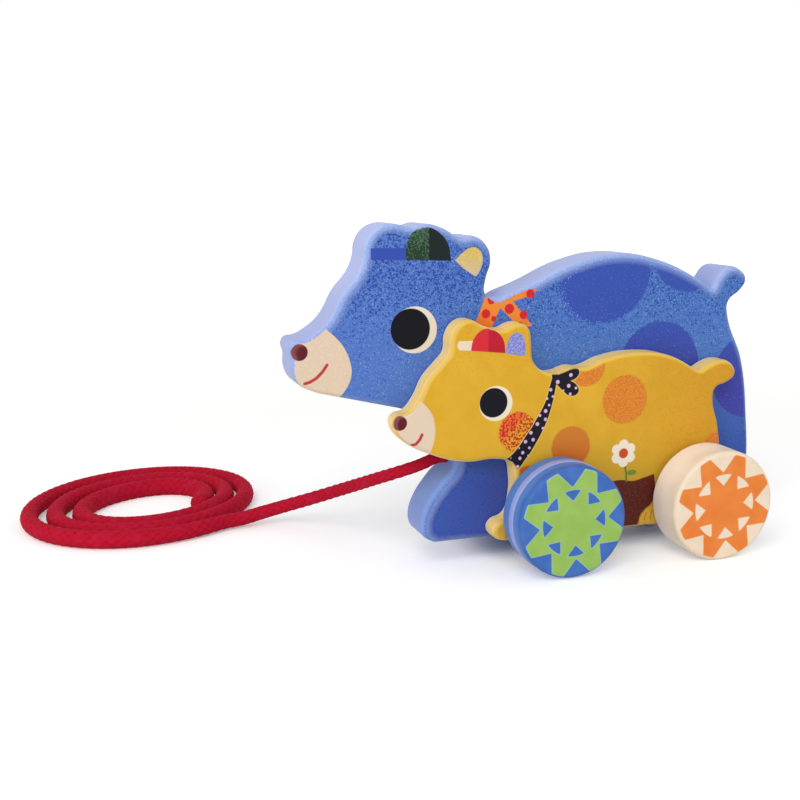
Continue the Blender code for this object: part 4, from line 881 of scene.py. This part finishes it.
# The E4BC50 layer and the side colour on the edges facing up and to the left, and the EFDABC line round
# every edge, are painted highlight.
ground = coats(
    tree, "D8A52C", (shade, "DEAC35", cloud, 0.35, 0.65),
    (shade, "CE942C", along_toy, 0.02, 0.09, 0.0, 0.8), (shade, "BE9A30", high, 0.056, 0.034, 0.0, 0.85),
    (spattered, "C99A30", fine, 0.74, 0.6, high, 0.07, 0.1),
    (spattered, "C48E2C", finer, 0.75, 0.6, along_toy, 0.01, 0.07),
    (printed, "spots", mottled, ragged, 0.3), (printed, "cheek", cheek, ragged, 0.3),
    (printed, "hill", earth), (printed, "paws", "D9A93E", ragged, 0.5), (printed, "toes", "B07A24"),
    (shade, "E4BC50", edge, 1.7, 0.5), (printed, "hat_band", "E8D4B8"), (printed, "cap", "D22E3A"),
    (printed, "cap_dark", "B82234"), (printed, "inner_ear", lilac), (printed, "muzzle", "E0CAB2"),
    (printed, "eye_white", "EADFC8"), (printed, "eye", "16151D"), (printed, "mouth", "B8383C"),
    (printed, "flower_stem", "5C7A30"), (printed, "flower_leaf", "6E8C38"),
    (printed, "flower_petals", "EFE3D0"), (printed, "flower_middle", "C8502A"),
    (printed, "scarf", "ECCA70", -0.3), (printed, "scarf", "1E1B25"), (printed, "scarf_dots", "D8B4D8"),
    (shade, "EFDABC", rim, 0.7, 0.1), (shade, sides, edge, 0.5, -0.1))
ground = add(tree, "Mix", far_edge_highlight, ground, "FCF4E4", data_type="RGBA")
join(tree, shader, Base_Color=printed(tree, ground, "nose", nose, share=on_face))
cub = board("cub_bear_printed", CUB_OUTLINE, CUB_NEAR_Y, CUB_FAR_Y, cub_bores, cub_prints, CUB_LIT_SIDE,
            [yellow, beech])
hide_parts("cub_board")

# Wheels: turned from beech, with a blind bore for the axle, lacquered, and an eight-pointed star
# printed on each outer face. The front ones have a groove for the grip ring.
WHEEL_RADIUS, WHEEL_WIDTH, WHEEL_ROUNDING = 25.0, 20.0, 2.0    # mm, as all the wheels' sizes
RING_PROUD, RING_ROUNDING = 0.3, 0.5
AXLE_BORE, WHEEL_BORE_DEPTH = 3.3, 14.0
NEAR_WHEEL_Y, FAR_WHEEL_Y = -0.01645, 0.01645
RING_OUT, RING_IN, RING_SEAT, GROOVE_PLAY = 11.6, 7.4, 22.9, 0.3
WHEEL_SIDES = 192
FACE_STEP, FACE_HOLD = 0.55, 0.3    # between rows on a face, and from its rounding to the first
NOTCH, TIP, TIP_HALF = 15.8, 23.6, math.radians(7.0)
WEDGE_APEX, WEDGE_OUT, WEDGE_HALF = 9.7, 14.8, math.radians(16.2)
STAR_POINTS = 8
FRONT_STAR_TURN, REAR_STAR_TURN = 4.5, 5.2    # degrees


def side_of(places, start, end):
    """Distance of places to the left of the way from start to end, with the sign."""
    run = np.subtract(end, start) / np.linalg.norm(np.subtract(end, start))
    return (places[..., 1] - start[1]) * run[0] - (places[..., 0] - start[0]) * run[1]


def star(radius, angle, notch_angle):
    """Distance out of the printed star, in mm: one half point, folded round the wheel.

    The star is inside the line from a notch to a tip's corner and inside the tips' circle. Its wedges
    are outside it: each is inside the line from its apex to its corner and inside its own circle.
    """
    half = math.pi / STAR_POINTS
    folded = np.mod(angle - notch_angle, 2 * half)
    from_tip, from_notch = np.abs(folded - half), half - np.abs(folded - half)
    place = radius[..., None] * np.stack([np.cos(from_tip), np.sin(from_tip)], -1)
    notch = NOTCH * np.array([math.cos(half), math.sin(half)])
    corner = TIP * np.array([math.cos(TIP_HALF), math.sin(TIP_HALF)])
    outside = np.maximum(side_of(place, notch, corner), radius - TIP)
    place = radius[..., None] * np.stack([np.cos(from_notch), np.sin(from_notch)], -1)
    wedge_corner = WEDGE_OUT * np.array([math.cos(WEDGE_HALF), math.sin(WEDGE_HALF)])
    wedge = np.maximum(side_of(place, (WEDGE_APEX, 0.0), wedge_corner), radius - WEDGE_OUT)
    return np.maximum(outside, -wedge)


def turned_round(name, profile, x, inner_y, outwards, materials, body, closed=False):
    """A profile of (radius, out) in mm turned round the axle: x + r cos a, y + out, z + r sin a.

    Each point's radius and angle come with the piece.
    """
    profile = np.array(profile)
    angle = 2 * math.pi * np.arange(WHEEL_SIDES) / WHEEL_SIDES
    shown = -angle if outwards > 0 else angle
    radius, out, shown = np.broadcast_arrays(profile[:, :1], profile[:, 1:], shown)
    points = np.stack([x + radius * np.cos(shown) * MM, inner_y + outwards * out * MM,
                       AXLE_Z + radius * np.sin(shown) * MM], -1).reshape(-1, 3)
    faces = round_faces(len(profile), WHEEL_SIDES, closed).tolist()
    if not closed:
        poles = [(x, inner_y + outwards * profile[k, 1] * MM, AXLE_Z) for k in (0, -1)]
        points = np.vstack([points, poles])
        faces += end_fans(len(profile), WHEEL_SIDES).tolist()
    return new_piece(name, points, faces, materials, body), radius, angle


def quarter(middle_radius, middle_out, radius, start, end, steps=8):
    """Points round an edge's arc, its angles in degrees."""
    return [(middle_radius + radius * math.cos(turn), middle_out + radius * math.sin(turn))
            for turn in np.radians(np.linspace(start, end, steps + 1))]


def wheel_profile(rim, groove):
    """From the bore's floor round the inner face, the rim and the outer face.

    The number of its points before the outer rounding comes with it.
    """
    inner, outer = WHEEL_ROUNDING, WHEEL_WIDTH - WHEEL_ROUNDING
    flat = rim - WHEEL_ROUNDING
    turned_side = ([(AXLE_BORE, WHEEL_BORE_DEPTH), (AXLE_BORE, 0.0), (flat - FACE_HOLD, 0.0)]
                   + quarter(flat, inner, WHEEL_ROUNDING, -90.0, 0.0) + groove)
    face = [(radius, WHEEL_WIDTH) for radius in np.arange(flat - FACE_HOLD, 0.2, -FACE_STEP)]
    return turned_side + quarter(flat, outer, WHEEL_ROUNDING, 0.0, 90.0) + face, len(turned_side)


front_rim = WHEEL_RADIUS - RING_PROUD
groove_in, groove_out = RING_IN - GROOVE_PLAY, RING_OUT + GROOVE_PLAY
groove = [(front_rim, groove_in), (RING_SEAT, groove_in),
          (RING_SEAT, groove_out), (front_rim, groove_out)]
ring_seat, ring_corner = RING_SEAT + GROOVE_PLAY, WHEEL_RADIUS - RING_ROUNDING
ring_profile = [
    (ring_seat, RING_IN),
    *quarter(ring_corner, RING_IN + RING_ROUNDING, RING_ROUNDING, -90.0, 0.0, steps=4),
    *quarter(ring_corner, RING_OUT - RING_ROUNDING, RING_ROUNDING, 0.0, 90.0, steps=4),
    (ring_seat, RING_OUT)]


def wheel_lacquer(name, ground, ink, halo, halo_share, side):
    """Lacquered wheel: ground and star each a little uneven, with a faint halo along the star's line.

    Its turned side is painted paler, as painted light for the lamp light it misses.
    There the distance from the star is WHEEL_RADIUS.
    """
    material, tree, shader, place = lacquered(name)
    uneven = grains(tree, place, 9.0)
    gap = add(tree, "Attribute", attribute_name="star").outputs["Fac"]
    near_line = add(tree, "Math", gap, operation="ABSOLUTE")
    join(tree, shader, Base_Color=coats(
        tree, ground[0], (shade, ground[1], uneven, 0.35, 0.65), (shade, side, gap, 5.0, 15.0),
        (printed, "star", shade(tree, *ink, uneven, 0.35, 0.65)),
        (shade, halo, near_line, 0.32, 0.08, 0.0, halo_share)))
    return material


# Each wheel's last colour is its turned side's, paler as painted light.
front_lacquer = wheel_lacquer("blue lacquer on turned beech", ("4069B4", "4A73BC"), ("93B95A", "9CC062"),
                              "9CCCC0", 0.6, "5C84C8")
rear_lacquer = wheel_lacquer("cream lacquer on turned beech", ("ECD8BE", "F0DEC7"), ("E67F3A", "EA8A42"),
                             "EFC49A", 0.2, "FCEEDC")


def grained(name, size, dark, bright, relief_size=0.0, strength=0.0, depth=0.0, **levels):
    """A finish that varies in grains of size mm, with a relief depth mm deep in grains of its own."""
    material, tree, shader, place = finish_of(name, **levels)
    cloud = grains(tree, place, size)
    join(tree, shader, Base_Color=add(tree, "Mix", cloud, dark, bright, data_type="RGBA"))
    if strength:
        height = grains(tree, place, relief_size)
        bump = add(tree, "Bump", Height=height, Strength=strength, Distance=depth * MM)
        join(tree, shader, Normal=bump)
    return material


# Grip rings: moulded soft rubber, stretched into the grooves. It is matt, with a fine grain.
rubber = grained("moulded soft rubber", 6.0, "8F9FDC", "A0AEE8", 0.3, 0.2, 0.1, Roughness=0.5,
                 Specular_IOR_Level=0.35)

for side_name, inner_y, outwards in (("near", NEAR_WHEEL_Y, -1), ("far", FAR_WHEEL_Y, 1)):
    for end, x, rim, cut_in, paint, slot, star_turn in (
            ("front", FRONT_AXLE_X, front_rim, groove, front_lacquer, "dark_blue_lacquer",
             FRONT_STAR_TURN),
            ("rear", FRONT_AXLE_X + WHEEL_BASE, WHEEL_RADIUS, [], rear_lacquer, "cream_lacquer",
             REAR_STAR_TURN)):
        node = "%s_wheel_%s" % (end, side_name)
        profile, turned_side = wheel_profile(rim, cut_in)
        wheel, radius, angle = turned_round(
            node + "_turned", profile, x, inner_y, outwards, [paint], end + "_wheelset")
        from_star = star(radius, angle[None, :], math.radians(star_turn))
        from_star[:turned_side] = WHEEL_RADIUS
        poles = (WHEEL_RADIUS, -WEDGE_APEX)    # in the bore, and in the middle of the star
        carry(wheel, "star", np.concatenate([from_star.ravel(), poles]))
        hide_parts(node)
    grip, _, _ = turned_round("grip_ring_%s_moulded" % side_name, ring_profile, FRONT_AXLE_X, inner_y,
                              outwards, [rubber], "front_wheelset", closed=True)
    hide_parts("grip_ring_" + side_name)


# Hidden parts keep their CAD shapes: steel axles and hammers, nylon bushes and drum, beech dowels,
# brass bars, felt strips and the cord's knot, each in its own finish.
def bare_metal(name, drawn, lines_per_mm, dark, bright, smooth, rough):
    """Bare metal with fine lines drawn out along one axis, which vary its shade and its polish."""
    metal, tree, shader, place = finish_of(name, Metallic=1.0)
    place = add(tree, "Mapping", Vector=place, Scale=drawn)
    lines = add(tree, "TexNoise", Vector=place, Scale=lines_per_mm / MM, Detail=3.0)
    join(tree, shader, Base_Color=add(tree, "Mix", lines, dark, bright, data_type="RGBA"),
         Roughness=add(tree, "MapRange", lines, 0.0, 1.0, smooth, rough))
    return metal


steel = bare_metal("drawn and zinc-plated steel", (1.0, 0.05, 1.0), 4.0, "B9BCC2", "D6D9DE", 0.22, 0.42)
brass = bare_metal("rolled brass", (0.05, 1.0, 1.0), 3.5, "C79B4A", "E0BC6C", 0.2, 0.38)

# Moulded nylon is milky and even, and a little light goes into it. Wool felt is matt and fuzzy.
nylon = grained("moulded white nylon", 3.0, "E4E2DA", "EFEEE8", Roughness=0.42, Subsurface_Weight=0.05)
felt = grained("pressed wool felt", 0.25, "8C1E22", "B43238", 0.25, 0.6, 0.2, Roughness=0.95,
               Specular_IOR_Level=0.1, Sheen_Weight=0.4)

# The knot's braid: matt, in slanting ridges, darker between them as painted shade.
knotted, tree, shader, place = finish_of(
    "knotted cotton braid", Roughness=0.85, Specular_IOR_Level=0.2, Sheen_Weight=0.35)
ridges = add(tree, "TexWave", Vector=place, Scale=0.42 / MM, Distortion=3.0,
             bands_direction="DIAGONAL").outputs[1]
join(tree, shader, Base_Color=add(tree, "Mix", ridges, "7E0C20", "C01E3A", data_type="RGBA"),
     Normal=add(tree, "Bump", Height=ridges, Strength=0.5, Distance=0.3 * MM))

KEPT = (
    (steel, ("front_axle", "rear_axle", "hammer_", "chime_frame", "frame_screw_", "bar_pin_")),
    (brass, ("tone_bar_",)), (nylon, ("front_bush_", "rear_bush_", "music_drum")), (felt, ("bar_felt_",)),
    (beech, ("glue_dowel_",)), (knotted, ("cord_knot",)))
for paint, starts in KEPT:
    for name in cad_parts:
        if name.startswith(starts):
            bpy.data.objects[name].data.materials.clear()
            bpy.data.objects[name].data.materials.append(paint)
